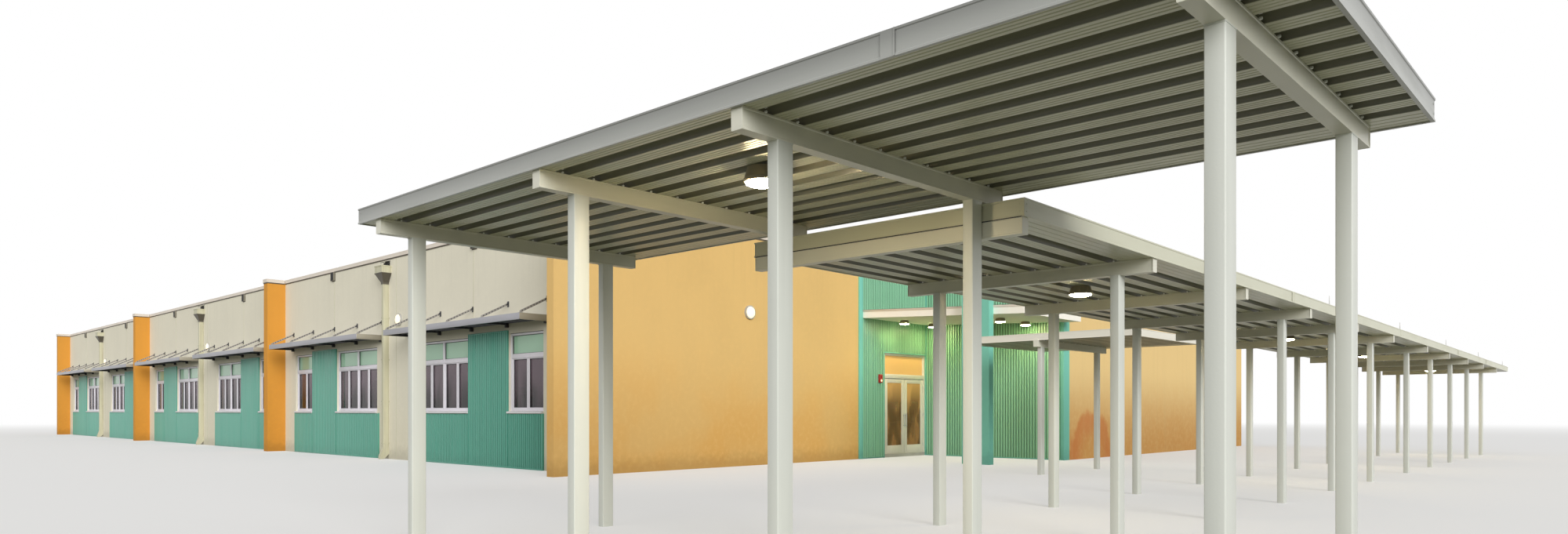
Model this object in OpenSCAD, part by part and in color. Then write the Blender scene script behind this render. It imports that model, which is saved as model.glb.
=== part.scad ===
// Single-storey school building with an entrance court and aluminium covered ways.
// All sizes below are those of the real building in millimetres.
// The whole model is drawn at model_scale of that size.
// X runs along the long front, towards the entrance end.
// Y runs from the front into the building, and Z is up from the ground.

/* [Scale] */
// Size of the model against the real building
model_scale = 0.5; // [0.05, 0.1, 0.5]

/* [Classroom wing] */
// Number of equal bays between the fins
bays = 3; // [2:1:3]
// Distance between fin centres
bay_pitch = 17190; // [16900:10:17400]
// Centre of the nearest bay, measured from the entrance end
near_centre = 9680; // [9600:10:9800]
// How far the fins stand beyond the middle between two bays
fin_shift = 150; // [0:10:200]
// Overall depth of the building, front face to rear face
depth = 27400; // [26500:100:29000]
// Height of the masonry, under the metal coping
wall_h = 5860; // [5700:10:6000]
// Thickness of the long walls
wall_t = 300; // [250:10:350]
// Thickness of the end wall beside the court
end_wall_t = 250; // [220:10:300]
// How far the end wall stands in front of the long front
end_wall_out = 1100; // [1000:10:1200]
// Thickness of each fin
fin_t = 350; // [300:10:400]
// How far each fin stands out
fin_out = 585; // [500:5:650]
// Height of the metal coping
coping_h = 120; // [100:10:160]
// How far the coping oversails each face
coping_lip = 25; // [15:5:40]
// Top of the floor slab
floor_z = 100; // [80:10:150]
// Underside of the roof slab
roof_z = 5180; // [5000:10:5200]
// Thickness of the roof slab
roof_t = 240; // [200:10:260]

/* [Windows] */
// Height of the sill ledge's underside
sill_z = 1340; // [1250:10:1400]
// Height of the sill ledge
sill_h = 60; // [40:10:120]
// Height of the window heads
head_z = 3300; // [3200:10:3340]
// Bottom of the transom bar
transom_z = 2680; // [2500:10:2750]
// Near and far edge of the wide window, from the bay's centre
wide_window = [1260, 4170]; // [0:10:8000]
// Near and far edge of the narrow window, from the bay's centre
narrow_window = [6080, 7600]; // [0:10:8000]
// Near and far edge of the corrugated base, from the bay's centre
panel_span = [1110, 7630]; // [0:10:8000]
// Top of the corrugated panel between the windows
panel_top = 3380; // [3340:10:3420]
// Thickness of the corrugated cladding
panel_t = 40; // [30:5:50]
// Face width of a window's frame
frame_w = 60; // [50:5:80]
// Depth of a window's frame
frame_d = 110; // [80:10:140]
// How far the frames sit behind the wall's face
reveal = 50; // [40:10:120]

/* [Sunshades] */
// Near and far end of a sunshade, from the bay's centre
shade_span = [870, 7830]; // [0:10:8000]
// How far a sunshade stands out
shade_out = 780; // [600:10:850]
// Top of a sunshade
shade_top = 3640; // [3600:10:3700]
// Height of a sunshade's edge channel
shade_h = 150; // [120:10:180]
// Number of struts that hold one sunshade
shade_struts = 5; // [4:1:6]
// Height of the struts' wall plates
strut_z = 4020; // [3850:10:4100]

/* [Court] */
// Far edge of the end wall's smooth face
end_wall_y = 9230; // [9000:10:9350]
// Front and rear side of the doorway
doorway = [10450, 12600]; // [10000:10:13000]
// Face of the wall at the back of the court
court_y = 12660; // [12650:10:12900]
// Face of the rear wing's end wall
wing_x = 4720; // [4500:10:5000]
// Top of the door leaves
door_top = 2380; // [2300:10:2420]
// Height of the bar over the doors
door_bar_h = 130; // [110:10:180]
// Top of the glazed entrance
entrance_top = 3150; // [3100:10:3300]
// Length of the entrance canopy
porch_x = 5230; // [5100:10:5400]
// Front edge of the entrance canopy
porch_y = 9400; // [9300:10:9600]
// Top of the entrance canopy at the wall
porch_top = 4340; // [4250:10:4450]
// Fall of the entrance canopy over its length
porch_fall = 220; // [100:10:240]
// Thickness of the entrance canopy
porch_t = 225; // [200:5:260]
// Near and far face of the court's pier
pier_x = [3530, 4350]; // [3000:10:4600]
// Depth of the court's pier, in front of the entrance canopy
pier_d = 220; // [200:10:300]

/* [Covered ways] */
// Height of the edge channel round each metal roof
edge_h = 155; // [120:5:180]
// Width of the edge channel's lower flange
edge_w = 90; // [60:5:120]
// Width of the posts and beams
post_w = 98; // [90:2:120]
// Depth of the posts
post_d = 150; // [120:5:160]
// Height of the beams
beam_h = 140; // [120:5:160]
// Distance between the ribs of the decks
rib_pitch = 300; // [250:10:320]
// Underside of the drop-off roof's beams
drop_z = 3178; // [3100:2:3300]
// Left and right end of the drop-off roof
drop_x = [7344, 16068]; // [7000:2:17000]
// Front and rear edge of the drop-off roof
drop_y = [-8284, -4886]; // [-9000:2:-4000]
// Beam lines of the drop-off roof
drop_beams = [7742, 10594, 12883, 15674]; // [7000:2:17000]
// Post rows of the drop-off roof
drop_rows = [-7847, -5465]; // [-8000:1:-5000]
// Near and far end of the drop-off roof's beams
drop_beam_y = [-8250, -5050]; // [-8300:10:-5000]
// Underside of the long roof's beams at its front end
walk_z = 2864; // [2840:2:2900]
// Fall of the long roof towards its rear end, for each unit of length
walk_fall = 0.0085; // [0:0.0005:0.01]
// Left and right edge of the long roof
walk_x = [10200, 13326]; // [10000:2:14000]
// Front end, joint and rear end of the long roof
walk_y = [-5385, 9820, 27470]; // [-5400:5:28000]
// Post rows of the long roof
walk_rows = [10660, 12905]; // [10000:5:14000]
// First and last post line of the long roof's front length
walk_front_lines = [-2610, 9260]; // [-3000:10:9500]
// First and last post line of the long roof's rear length
walk_rear_lines = [12850, 24720]; // [12000:10:25000]
// Number of post lines in each length of the long roof
walk_lines = 5; // [3:1:6]
// Left and right edge of the link roof
link_x = [5300, 9290]; // [5250:10:10000]
// Front and rear edge of the link roof
link_y = [6450, 10200]; // [6000:10:10400]
// Underside of the link roof's beam
link_z = 2800; // [2780:5:2850]
// Line of the link roof's beam and posts
link_beam = 7150; // [6500:10:8000]
// Near and far end of the link roof's beam
link_beam_y = [6400, 9860]; // [6400:10:10100]
// Post rows of the link roof
link_rows = [6650, 9450]; // [6500:10:10000]

/* [Hidden] */
$fn = 48;

cream = [0.86, 0.84, 0.76];
orange = [0.86, 0.57, 0.22];
teal = [0.30, 0.66, 0.56];
paint = [0.84, 0.86, 0.85];
deck_paint = [0.62, 0.62, 0.56];
dark = [0.18, 0.18, 0.18];
glass = [0.55, 0.66, 0.68, 0.5];
lamp = [0.98, 0.92, 0.75];

// Centre of the far end wall, and the model's own origin on the ground
far_x = -(near_centre + (bays - 0.5) * bay_pitch + fin_shift);
far_face = far_x - fin_t / 2;
mid_x = (far_face - coping_lip + drop_x[1]) / 2;
mid_y = (drop_y[0] + depth + shade_out) / 2;

// Centres of the bays and of the fins between them
bay_x = [for (i = [0 : bays - 1]) -(near_centre + i * bay_pitch)];
fin_x = [for (i = [0 : bays - 2]) -(near_centre + (i + 0.5) * bay_pitch + fin_shift)];

// Post lines of the long roof, and its slope as an angle
function line_y(ends, i) = ends[0] + i * (ends[1] - ends[0]) / (walk_lines - 1);
walk_line_y = [for (ends = [walk_front_lines, walk_rear_lines], i = [0 : walk_lines - 1]) line_y(ends, i)];
walk_slope = atan(walk_fall);

// Clearance round the door leaves, and between pieces that meet
gap = 12;
joint_gap = 2;

// Thickness of the sheet metal and of the glass
sheet = 12;

// Height of the porch roof's sloping underside
function porch_under(x) = porch_top - porch_t - porch_fall * (x - panel_t) / (porch_x - panel_t);

// Ends of the long roof's two lengths
walk_lengths = [[walk_y[0], walk_y[1]], [walk_y[1] + joint_gap, walk_y[2]]];

inner_y = [wall_t, depth - wall_t];

// Door leaves: width, thickness, inner face, stiles and rails
leaf_w = (doorway[1] - doorway[0] - 2 * frame_w - 3 * gap) / 2;
leaf_t = 45;
leaf_x = -60;
stile_w = 125;
rail_h = 230;
head_rail_h = 110;

// Glazed entrance: depth of its frame, and place of the transom's glass
entrance_d = 130;
transom_glass_x = -70;

// Round lamps: radius of all drums, and length under the porch and the two ways
drum_r = 150;
porch_drum_h = 120;
drop_drum_h = 150;
walk_drum_h = 125;

// A cut goes past a face by this much
over = 10;

// Puts what is drawn at real size into the model's own frame and scale
module model() {
  scale(model_scale) translate([-mid_x, -mid_y, 0]) children();
}

// Block between two corners
module block(x, y, z) {
  translate([x[0], y[0], z[0]]) cube([x[1] - x[0], y[1] - y[0], z[1] - z[0]]);
}

// Repeats a piece of the front on the rear face
module both_sides() {
  children();
  translate([0, depth, 0]) mirror([0, 1, 0]) children();
}

// Repeats a piece on the left and right half of every bay
module each_half_bay() {
  for (x = bay_x) {
    translate([x, 0, 0]) children();
    translate([x, 0, 0]) mirror([1, 0, 0]) children();
  }
}

module window_holes() {
  for (w = [wide_window, narrow_window]) block(w, [-over, wall_t + over], [sill_z, head_z]);
}

module long_wall(right_end) {
  difference() {
    block([far_x + fin_t / 2, right_end], [0, wall_t], [0, wall_h]);
    each_half_bay() window_holes();
  }
}

module floor_slab() {
  color("gainsboro") model() {
    block([far_x + fin_t / 2, -end_wall_t], inner_y, [0, floor_z]);
    block([-end_wall_t, wing_x - wall_t], [court_y + wall_t, inner_y[1]], [0, floor_z]);
    block([-end_wall_t, 0], doorway, [0, floor_z]);
  }
}

module front_wall() {
  color(cream) model() long_wall(-end_wall_t);
}

module rear_wall() {
  color(cream) model() translate([0, depth, 0]) mirror([0, 1, 0]) long_wall(wing_x - wall_t);
}

module near_end_wall() {
  color(orange) model() block([-end_wall_t, 0], [-end_wall_out, end_wall_y], [0, wall_h]);
}

module far_end_wall() {
  color(orange) model()
    block([far_face, far_face + fin_t], [-fin_out, depth + fin_out], [0, wall_h]);
}

// Masonry between the smooth end wall and the doorway
module entrance_wall() {
  color(teal) model() block([-end_wall_t, 0], [end_wall_y, doorway[0]], [0, wall_h]);
}

module over_door_wall() {
  color(teal) model() block([-end_wall_t, 0], doorway, [entrance_top, wall_h]);
}

// Wall at the back of the court, with its return beside the doorway
module court_wall() {
  color(teal) model() {
    block([-end_wall_t, 0], [doorway[1], court_y + wall_t], [0, wall_h]);
    block([0, wing_x], [court_y, court_y + wall_t], [0, wall_h]);
  }
}

module wing_end_wall() {
  color(orange) model()
    block([wing_x - wall_t, wing_x], [court_y + wall_t, depth + fin_out], [0, wall_h]);
}

module roof_slab() {
  color("lightgray") model() {
    block([far_x + fin_t / 2, -end_wall_t], inner_y, [roof_z, roof_z + roof_t]);
    block([-end_wall_t, wing_x - wall_t], [court_y + wall_t, inner_y[1]], [roof_z, roof_z + roof_t]);
  }
}

// One straight length of coping over a wall
module cap(x, y) {
  block(x + [-coping_lip, coping_lip], y + [-coping_lip, coping_lip], [wall_h, wall_h + coping_h]);
}

module coping() {
  inset = [joint_gap, -joint_gap] + [coping_lip, -coping_lip];
  color(paint) model() {
    cap([far_face, far_face + fin_t], [-fin_out, depth + fin_out]);
    cap([-end_wall_t, 0], [-end_wall_out, court_y - coping_lip * 2 - joint_gap]);
    cap([-end_wall_t, wing_x], [court_y, court_y + wall_t]);
    cap([wing_x - wall_t, wing_x], [court_y + wall_t + 2 * coping_lip + joint_gap, depth + fin_out]);
    cap([far_face + fin_t, -end_wall_t] + 2 * inset, [0, wall_t]);
    cap([far_face + fin_t, wing_x - wall_t] + 2 * inset, [depth - wall_t, depth]);
    both_sides() for (x = fin_x)
      cap([x - fin_t / 2, x + fin_t / 2], [-fin_out, -2 * coping_lip - joint_gap]);
  }
}

module fins() {
  color(orange) model() both_sides() for (x = fin_x)
    block([x - fin_t / 2, x + fin_t / 2], [-fin_out, 0], [0, wall_h]);
}

// Corrugated cladding under the windows and between them
module half_bay_panel() {
  block(panel_span, [-panel_t, 0], [0, sill_z]);
  block([wide_window[1], narrow_window[0]], [-panel_t, 0], [sill_z, panel_top]);
}

module corrugated_panels() {
  color(teal) model() both_sides() each_half_bay() half_bay_panel();
}

// Corrugated cladding round the court, and over and beside its doors
module court_panels() {
  color(teal) model() {
    block([0, panel_t], [end_wall_y, doorway[0]], [0, wall_h]);
    block([0, panel_t], doorway, [entrance_top, wall_h]);
    block([0, wing_x], [court_y - panel_t, court_y], [0, wall_h]);
  }
}

// One window: an outer frame with its transom bar and its mullions
module window_frame(w, lights) {
  light_w = (w[1] - w[0] - frame_w) / lights;
  difference() {
    block(w, [reveal, reveal + frame_d], [sill_z + sill_h, head_z]);
    for (i = [0 : lights - 1]) {
      x = w[0] + frame_w + i * light_w;
      span = [x, x + light_w - frame_w];
      block(span, [0, wall_t], [sill_z + sill_h + frame_w, transom_z]);
      block(span, [0, wall_t], [transom_z + frame_w, head_z - frame_w]);
    }
  }
}

module window_frames() {
  color(paint) model() both_sides() each_half_bay() {
    window_frame(wide_window, 2);
    window_frame(narrow_window, 1);
  }
}

// One pane for each opening of a frame
module window_panes(w, lights) {
  light_w = (w[1] - w[0] - frame_w) / lights;
  pane_y = reveal + frame_d / 2;
  for (i = [0 : lights - 1]) {
    x = w[0] + frame_w + i * light_w;
    span = [x, x + light_w - frame_w];
    block(span, [pane_y, pane_y + sheet], [sill_z + sill_h + frame_w, transom_z]);
    block(span, [pane_y, pane_y + sheet], [transom_z + frame_w, head_z - frame_w]);
  }
}

module window_glass() {
  color(glass) model() both_sides() each_half_bay() {
    window_panes(wide_window, 2);
    window_panes(narrow_window, 1);
  }
}

module window_sills() {
  ledge = 70;
  color(paint) model() both_sides() each_half_bay() for (w = [wide_window, narrow_window])
    block(w, [-ledge, reveal + frame_d], [sill_z, sill_z + sill_h]);
}

// Flat metal shade: a top plate with a deep channel along three edges
module sunshade() {
  edge = 40;
  under = shade_top - shade_h;
  difference() {
    block(shade_span, [-shade_out, 0], [under, shade_top]);
    block(shade_span + [edge, -edge], [-shade_out + edge, over], [under - over, shade_top - sheet]);
  }
}

module sunshades() {
  color(paint) model() both_sides() each_half_bay() sunshade();
}

// One sloping strut, with its wall plate and its foot on the shade
module strut() {
  bar = 22;
  rise = 45;
  plate = 10;
  foot = -shade_out + 60;
  heel = foot + 70;
  translate([-bar / 2, 0, 0]) rotate([90, 0, 90]) linear_extrude(bar)
    polygon([
      [foot, shade_top], [heel, shade_top],
      [0, strut_z - rise], [0, strut_z + rise], [-plate, strut_z + rise],
      [-plate, strut_z + plate], [foot, shade_top + rise]
    ]);
}

module sunshade_struts() {
  end_gap = 60;
  first = shade_span[0] + end_gap;
  step = (shade_span[1] - shade_span[0] - 2 * end_gap) / (shade_struts - 1);
  color(dark) model() both_sides() each_half_bay()
    for (i = [0 : shade_struts - 1]) translate([first + i * step, 0, 0]) strut();
}

// Rainwater pipe with its head box, one to each bay
module downpipe() {
  pipe = [130, 160];
  head = [470, 285];
  head_z0 = 5130;
  funnel_h = 280;
  box_h = 220;
  shoe = 90;
  shoe_h = 130;
  translate([-pipe[0] / 2, -pipe[1], 0]) cube([pipe[0], pipe[1], head_z0 + over]);
  translate([0, 0, head_z0]) rotate([90, 0, 0]) linear_extrude(head[1])
    polygon([
      [-pipe[0] / 2, 0], [pipe[0] / 2, 0], [head[0] / 2, funnel_h],
      [head[0] / 2, funnel_h + box_h], [-head[0] / 2, funnel_h + box_h], [-head[0] / 2, funnel_h]
    ]);
  translate([-pipe[0] / 2, -pipe[1] - shoe, 0]) cube([pipe[0], shoe + over, shoe_h]);
}

module downpipes() {
  beside = -550;
  color(cream) model() both_sides() for (x = bay_x) translate([x + beside, 0, 0]) downpipe();
}

module overflow_scuppers() {
  from_centre = 4430;
  spout = [230, 60, 270];
  spout_z = 5570;
  color(dark) model() both_sides() each_half_bay()
    translate([from_centre - spout[0] / 2, -spout[1], spout_z]) cube(spout);
}

// Round wall lamps beside the pipes and on the end walls
module wall_lights() {
  lamp_r = 180;
  lamp_t = 100;
  beside = 200;
  front_z = 4030;
  end_y = 4745;
  end_z = 3925;
  color(lamp) model() {
    both_sides() for (x = bay_x)
      translate([x + beside, 0, front_z]) rotate([90, 0, 0]) cylinder(r = lamp_r, h = lamp_t);
    translate([0, end_y, end_z]) rotate([0, 90, 0]) cylinder(r = lamp_r, h = lamp_t);
  }
}

// Porch roof over the entrance, falling gently away from the door
module entrance_canopy() {
  ends = [panel_t, porch_x];
  color(paint) model()
    translate([0, court_y - panel_t, 0]) rotate([90, 0, 0])
      linear_extrude(court_y - panel_t - porch_y)
        polygon([
          [ends[0], porch_under(ends[0])], [ends[1], porch_under(ends[1])],
          [ends[1], porch_under(ends[1]) + porch_t], [ends[0], porch_under(ends[0]) + porch_t]
        ]);
}

module entrance_pier() {
  color(teal) model() block(pier_x, [porch_y - pier_d, porch_y], [0, wall_h]);
}

// Drum lamps under a roof
module drum(r, h) {
  translate([0, 0, -h]) cylinder(r = r, h = h);
}

module entrance_lights() {
  spots = [[650, 10600], [650, 12100], [3800, 10700], [3800, 12100]];
  color(lamp) model() for (p = spots)
    translate([p[0], p[1], porch_under(p[0] + drum_r) - joint_gap]) drum(drum_r, porch_drum_h);
}

module alarm_horn() {
  place = [panel_t, 10130, 2240];
  color("firebrick") model() translate(place) cube([70, 130, 250]);
}

// Glazed entrance screen: jambs, head, transom bar and threshold
module entrance_frame() {
  through = [-entrance_d - over, over];
  inside = doorway + [frame_w, -frame_w];
  color(paint) model() difference() {
    block([-entrance_d, 0], doorway, [floor_z, entrance_top]);
    block(through, inside, [floor_z - over, door_top + gap]);
    block(through, inside, [door_top + door_bar_h, entrance_top - frame_w]);
  }
}

module transom_glass() {
  color(glass) model()
    block([transom_glass_x, transom_glass_x + sheet], doorway + [frame_w, -frame_w],
      [door_top + door_bar_h, entrance_top - frame_w]);
}

// Door leaf lying along +Y from its hinge edge
module leaf() {
  difference() {
    block([leaf_x, leaf_x + leaf_t], [0, leaf_w], [floor_z + gap, door_top]);
    block([leaf_x - over, leaf_x + leaf_t + over], [stile_w, leaf_w - stile_w],
      [floor_z + gap + rail_h, door_top - head_rail_h]);
  }
}

module leaf_glass() {
  pane_x = leaf_x + 16;
  block([pane_x, pane_x + sheet], [stile_w, leaf_w - stile_w],
    [floor_z + gap + rail_h, door_top - head_rail_h]);
}

// Upright pull handle near the meeting edge
module leaf_pull() {
  face = leaf_x + leaf_t;
  grip = 20;
  reach = 60;
  bar_y = leaf_w - 60;
  bar_w = 24;
  bar_z = [900, 1324];
  for (z = [bar_z[0] + 50, bar_z[1] - 74])
    block([face, face + reach], [bar_y, bar_y + bar_w], [z, z + bar_w]);
  block([face + reach - grip, face + reach], [bar_y, bar_y + bar_w], bar_z);
}

module left_leaf_place() {
  translate([0, doorway[0] + frame_w + gap, 0]) children();
}

module right_leaf_place() {
  translate([0, doorway[1] - frame_w - gap, 0]) mirror([0, 1, 0]) children();
}

module left_door() {
  color(paint) model() left_leaf_place() leaf();
}

module left_door_glass() {
  color(glass) model() left_leaf_place() leaf_glass();
}

module left_door_pull() {
  color("silver") model() left_leaf_place() leaf_pull();
}

module right_door() {
  color(paint) model() right_leaf_place() leaf();
}

module right_door_glass() {
  color(glass) model() right_leaf_place() leaf_glass();
}

module right_door_pull() {
  color("silver") model() right_leaf_place() leaf_pull();
}

// Post standing on the ground, with its wide side along Y
module post(x, y, top) {
  block([x - post_w / 2, x + post_w / 2], [y - post_d / 2, y + post_d / 2], [0, top]);
}

// Edge channel round a roof, in four lengths that meet at the corners
module edge(x, y, z) {
  profile = [[0, 0], [edge_w, 0], [edge_w, sheet], [sheet, sheet], [sheet, edge_h], [0, edge_h]];
  for (side = [0, 1]) {
    translate([x[0] + x[1], 0, 0] * side) mirror([side, 0, 0])
      translate([x[0], y[1], z]) rotate([90, 0, 0])
        linear_extrude(y[1] - y[0]) polygon(profile);
    translate([0, y[0] + y[1], 0] * side) mirror([0, side, 0])
      translate([x[0] + edge_w + joint_gap, y[0], z]) rotate([90, 0, 90])
        linear_extrude(x[1] - x[0] - 2 * edge_w - 2 * joint_gap) polygon(profile);
  }
}

// Cross-section of a ribbed deck: flat pans with deep channels between them
function deck_line(width, lift) = let (
    pan_share = 0.51,
    slope_share = 0.05,
    ribs = round(width / rib_pitch),
    step = width / ribs,
    flat = step * pan_share,
    slope = step * slope_share,
    rise = edge_h / 2
  ) [for (i = [0 : ribs - 1], p = [
      [0, 0], [flat, 0], [flat + slope, rise], [step - slope, rise]
    ]) [i * step + p[0], p[1] + lift]];

module deck_profile(width) {
  lower = deck_line(width, 0);
  upper = deck_line(width, sheet);
  polygon(concat(
    lower, [[width, 0], [width, sheet]],
    [for (i = [len(upper) - 1 : -1 : 0]) upper[i]]
  ));
}

module dropoff_posts() {
  color(paint) model() for (x = drop_beams, y = drop_rows) post(x, y, drop_z);
}

module dropoff_beams() {
  color(paint) model() for (x = drop_beams)
    block([x - post_w / 2, x + post_w / 2], drop_beam_y, [drop_z, drop_z + beam_h]);
}

module dropoff_deck() {
  inset = edge_w + joint_gap;
  width = drop_y[1] - drop_y[0] - 2 * inset;
  color(deck_paint) model()
    translate([drop_x[0] + inset, drop_y[0] + inset, drop_z + beam_h]) rotate([90, 0, 90])
      linear_extrude(drop_x[1] - drop_x[0] - 2 * inset) deck_profile(width);
}

module dropoff_edge() {
  color(paint) model() edge(drop_x, drop_y, drop_z + beam_h);
}

module dropoff_lights() {
  spot = [11970, -7080];
  color(lamp) model() translate([spot[0], spot[1], drop_z + beam_h]) drum(drum_r, drop_drum_h);
}

// Tilts what is drawn level, at heights above the beams' underside, to the long roof's slope
module walk_tilt() {
  translate([0, walk_y[0], walk_z]) rotate([-walk_slope, 0, 0]) translate([0, -walk_y[0], 0]) children();
}

// Posts whose tops follow the slope of the long roof
module walkway_posts() {
  color(paint) model() for (x = walk_rows, y = walk_line_y) {
    front = y - post_d / 2;
    rear = y + post_d / 2;
    translate([x - post_w / 2, 0, 0]) rotate([90, 0, 90]) linear_extrude(post_w)
      polygon([
        [front, 0], [rear, 0],
        [rear, walk_z - walk_fall * (rear - walk_y[0])],
        [front, walk_z - walk_fall * (front - walk_y[0])]
      ]);
  }
}

module walkway_beams() {
  end_gap = 20;
  span = walk_x + [end_gap, -end_gap];
  color(paint) model() walk_tilt() {
    block(span, [walk_y[0], walk_y[0] + post_w], [0, beam_h]);
    for (y = walk_line_y) block(span, [y - post_w / 2, y + post_w / 2], [0, beam_h]);
  }
}

module walkway_deck() {
  inset = edge_w + joint_gap;
  width = walk_x[1] - walk_x[0] - 2 * inset;
  color(deck_paint) model() walk_tilt() for (y = walk_lengths)
    translate([walk_x[0] + inset, y[1] - inset, beam_h]) rotate([90, 0, 0])
      linear_extrude(y[1] - y[0] - 2 * inset) deck_profile(width);
}

module walkway_edge() {
  color(paint) model() walk_tilt() for (y = walk_lengths) edge(walk_x, y, beam_h);
}

// Drum lamps in every other bay, half way between two post lines
module walkway_lights() {
  bays_lit = [0, 3, 5, 8];
  color(lamp) model() walk_tilt() for (i = bays_lit)
    translate([
      (walk_rows[0] + walk_rows[1]) / 2,
      (walk_line_y[i] + walk_line_y[i + 1]) / 2,
      beam_h
    ]) drum(drum_r, walk_drum_h);
}

module link_posts() {
  color(paint) model() for (y = link_rows) post(link_beam, y, link_z);
}

module link_beams() {
  color(paint) model()
    block([link_beam - post_w / 2, link_beam + post_w / 2], link_beam_y, [link_z, link_z + beam_h]);
}

module link_deck() {
  inset = edge_w + joint_gap;
  width = link_y[1] - link_y[0] - 2 * inset;
  color(deck_paint) model()
    translate([link_x[0] + inset, link_y[0] + inset, link_z + beam_h]) rotate([90, 0, 90])
      linear_extrude(link_x[1] - link_x[0] - 2 * inset) deck_profile(width);
}

module link_edge() {
  color(paint) model() edge(link_x, link_y, link_z + beam_h);
}

floor_slab();
front_wall();
rear_wall();
near_end_wall();
far_end_wall();
entrance_wall();
over_door_wall();
court_wall();
wing_end_wall();
roof_slab();
coping();
fins();
corrugated_panels();
court_panels();
window_frames();
window_glass();
window_sills();
sunshades();
sunshade_struts();
downpipes();
overflow_scuppers();
wall_lights();
entrance_canopy();
entrance_pier();
entrance_lights();
alarm_horn();
entrance_frame();
transom_glass();
left_door();
left_door_glass();
left_door_pull();
right_door();
right_door_glass();
right_door_pull();
dropoff_posts();
dropoff_beams();
dropoff_deck();
dropoff_edge();
dropoff_lights();
walkway_posts();
walkway_beams();
walkway_deck();
walkway_edge();
walkway_lights();
link_posts();
link_beams();
link_deck();
link_edge();
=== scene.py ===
# %% [markdown]
# This lesson finishes a school building, drawn at half its real size. The
# construction comes packed, with every solid already in place. The script gives it
# profiled metal, ribbed cladding, windows, lamps and paint. It starts by loading
# that frame.

# %% Load the construction
from math import atan, atan2, cos, hypot, pi, radians, sin

import bmesh
import bpy
from mathutils import Matrix, Vector


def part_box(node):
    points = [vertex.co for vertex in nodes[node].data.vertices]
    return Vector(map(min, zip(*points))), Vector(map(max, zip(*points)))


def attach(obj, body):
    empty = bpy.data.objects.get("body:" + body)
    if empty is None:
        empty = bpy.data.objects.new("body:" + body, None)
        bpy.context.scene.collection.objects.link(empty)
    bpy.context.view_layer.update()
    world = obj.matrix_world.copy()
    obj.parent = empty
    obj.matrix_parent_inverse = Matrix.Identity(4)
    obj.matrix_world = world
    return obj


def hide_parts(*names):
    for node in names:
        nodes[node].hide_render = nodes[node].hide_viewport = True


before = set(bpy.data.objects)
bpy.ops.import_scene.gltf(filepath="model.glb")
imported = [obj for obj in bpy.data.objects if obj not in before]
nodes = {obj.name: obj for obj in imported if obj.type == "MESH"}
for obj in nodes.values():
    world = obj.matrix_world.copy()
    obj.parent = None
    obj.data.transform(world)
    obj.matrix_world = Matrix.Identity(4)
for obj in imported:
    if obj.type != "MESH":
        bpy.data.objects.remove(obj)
scene = bpy.context.scene
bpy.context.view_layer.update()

# %% [markdown]
# A builder thinks in the real building's metres, from its near front corner, so
# the pieces are drawn that way: x along the front, y into the building, z up. One
# matrix takes them to the half-size model. It is worked out from two walls of the
# frame, so the looks can't drift away from the construction.

# %% Real metres and model metres
SCALE = 0.5
near_corner = Vector((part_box("near_end_wall")[1].x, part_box("front_wall")[0].y, 0))
TO_MODEL = Matrix.Translation(near_corner) @ Matrix.Scale(SCALE, 4)
TO_SITE = TO_MODEL.inverted()


def span(node):
    """Lowest and highest corner of a node, in real metres"""
    low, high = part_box(node)
    return TO_SITE @ low, TO_SITE @ high


def solids(node):
    """Corners of each separate solid of a node, in real metres, from left to right"""
    shape = bmesh.new()
    shape.from_mesh(nodes[node].data)
    bmesh.ops.remove_doubles(shape, verts=shape.verts, dist=1e-5)
    left = set(shape.verts)
    found = []
    while left:
        island = {left.pop()}
        border = set(island)
        while border:
            border = {e.other_vert(v) for v in border for e in v.link_edges} - island
            island |= border
        left -= island
        points = [TO_SITE @ v.co for v in island]
        low, high = (Vector([pick(p[i] for p in points) for i in range(3)]) for pick in (min, max))
        found.append((low, high))
    shape.free()
    return sorted(found, key=lambda pair: [round(c, 3) for c in pair[0]])


print("roof of the building, real metres:", span("roof_slab"))

# %% [markdown]
# The camera stands near the covered drop-off, with its lens at chest height, and
# is kept level so that posts stay upright. A level camera sees more sky by shifting
# the lens up, not by tilting it, and the shift says how far the horizon lies under
# the middle of the picture.

# %% Camera
PICTURE_W = 2000
PICTURE_H = 681
FOCAL_PX = 1208.35
HORIZON_PX = 524.14
SENSOR_MM = 36
EYE = Vector((17.181, -12.435, 1.40))
HEADING = radians(42.905)

lens = bpy.data.cameras.new("photographer")
lens.sensor_width = SENSOR_MM
lens.lens = SENSOR_MM * FOCAL_PX / PICTURE_W
lens.shift_y = (HORIZON_PX - PICTURE_H / 2) / PICTURE_W
camera = bpy.data.objects.new("photographer", lens)
camera.location = TO_MODEL @ EYE
camera.rotation_euler = (pi / 2, 0, HEADING)
scene.collection.objects.link(camera)
scene.camera = camera
scene.view_settings.view_transform = "Standard"
print("lens", round(lens.lens, 2), "mm, shift", round(lens.shift_y, 4))

# %% [markdown]
# Shader sums are easier to read as Python. A small class wraps a socket, and its
# operators add Math nodes. Every other node comes from one method of a finish,
# which takes the node's type, its settings and what goes into its sockets. All
# patterns are measured in the building's real metres, so that a rib or a stain
# has the size that it has on site.


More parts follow.
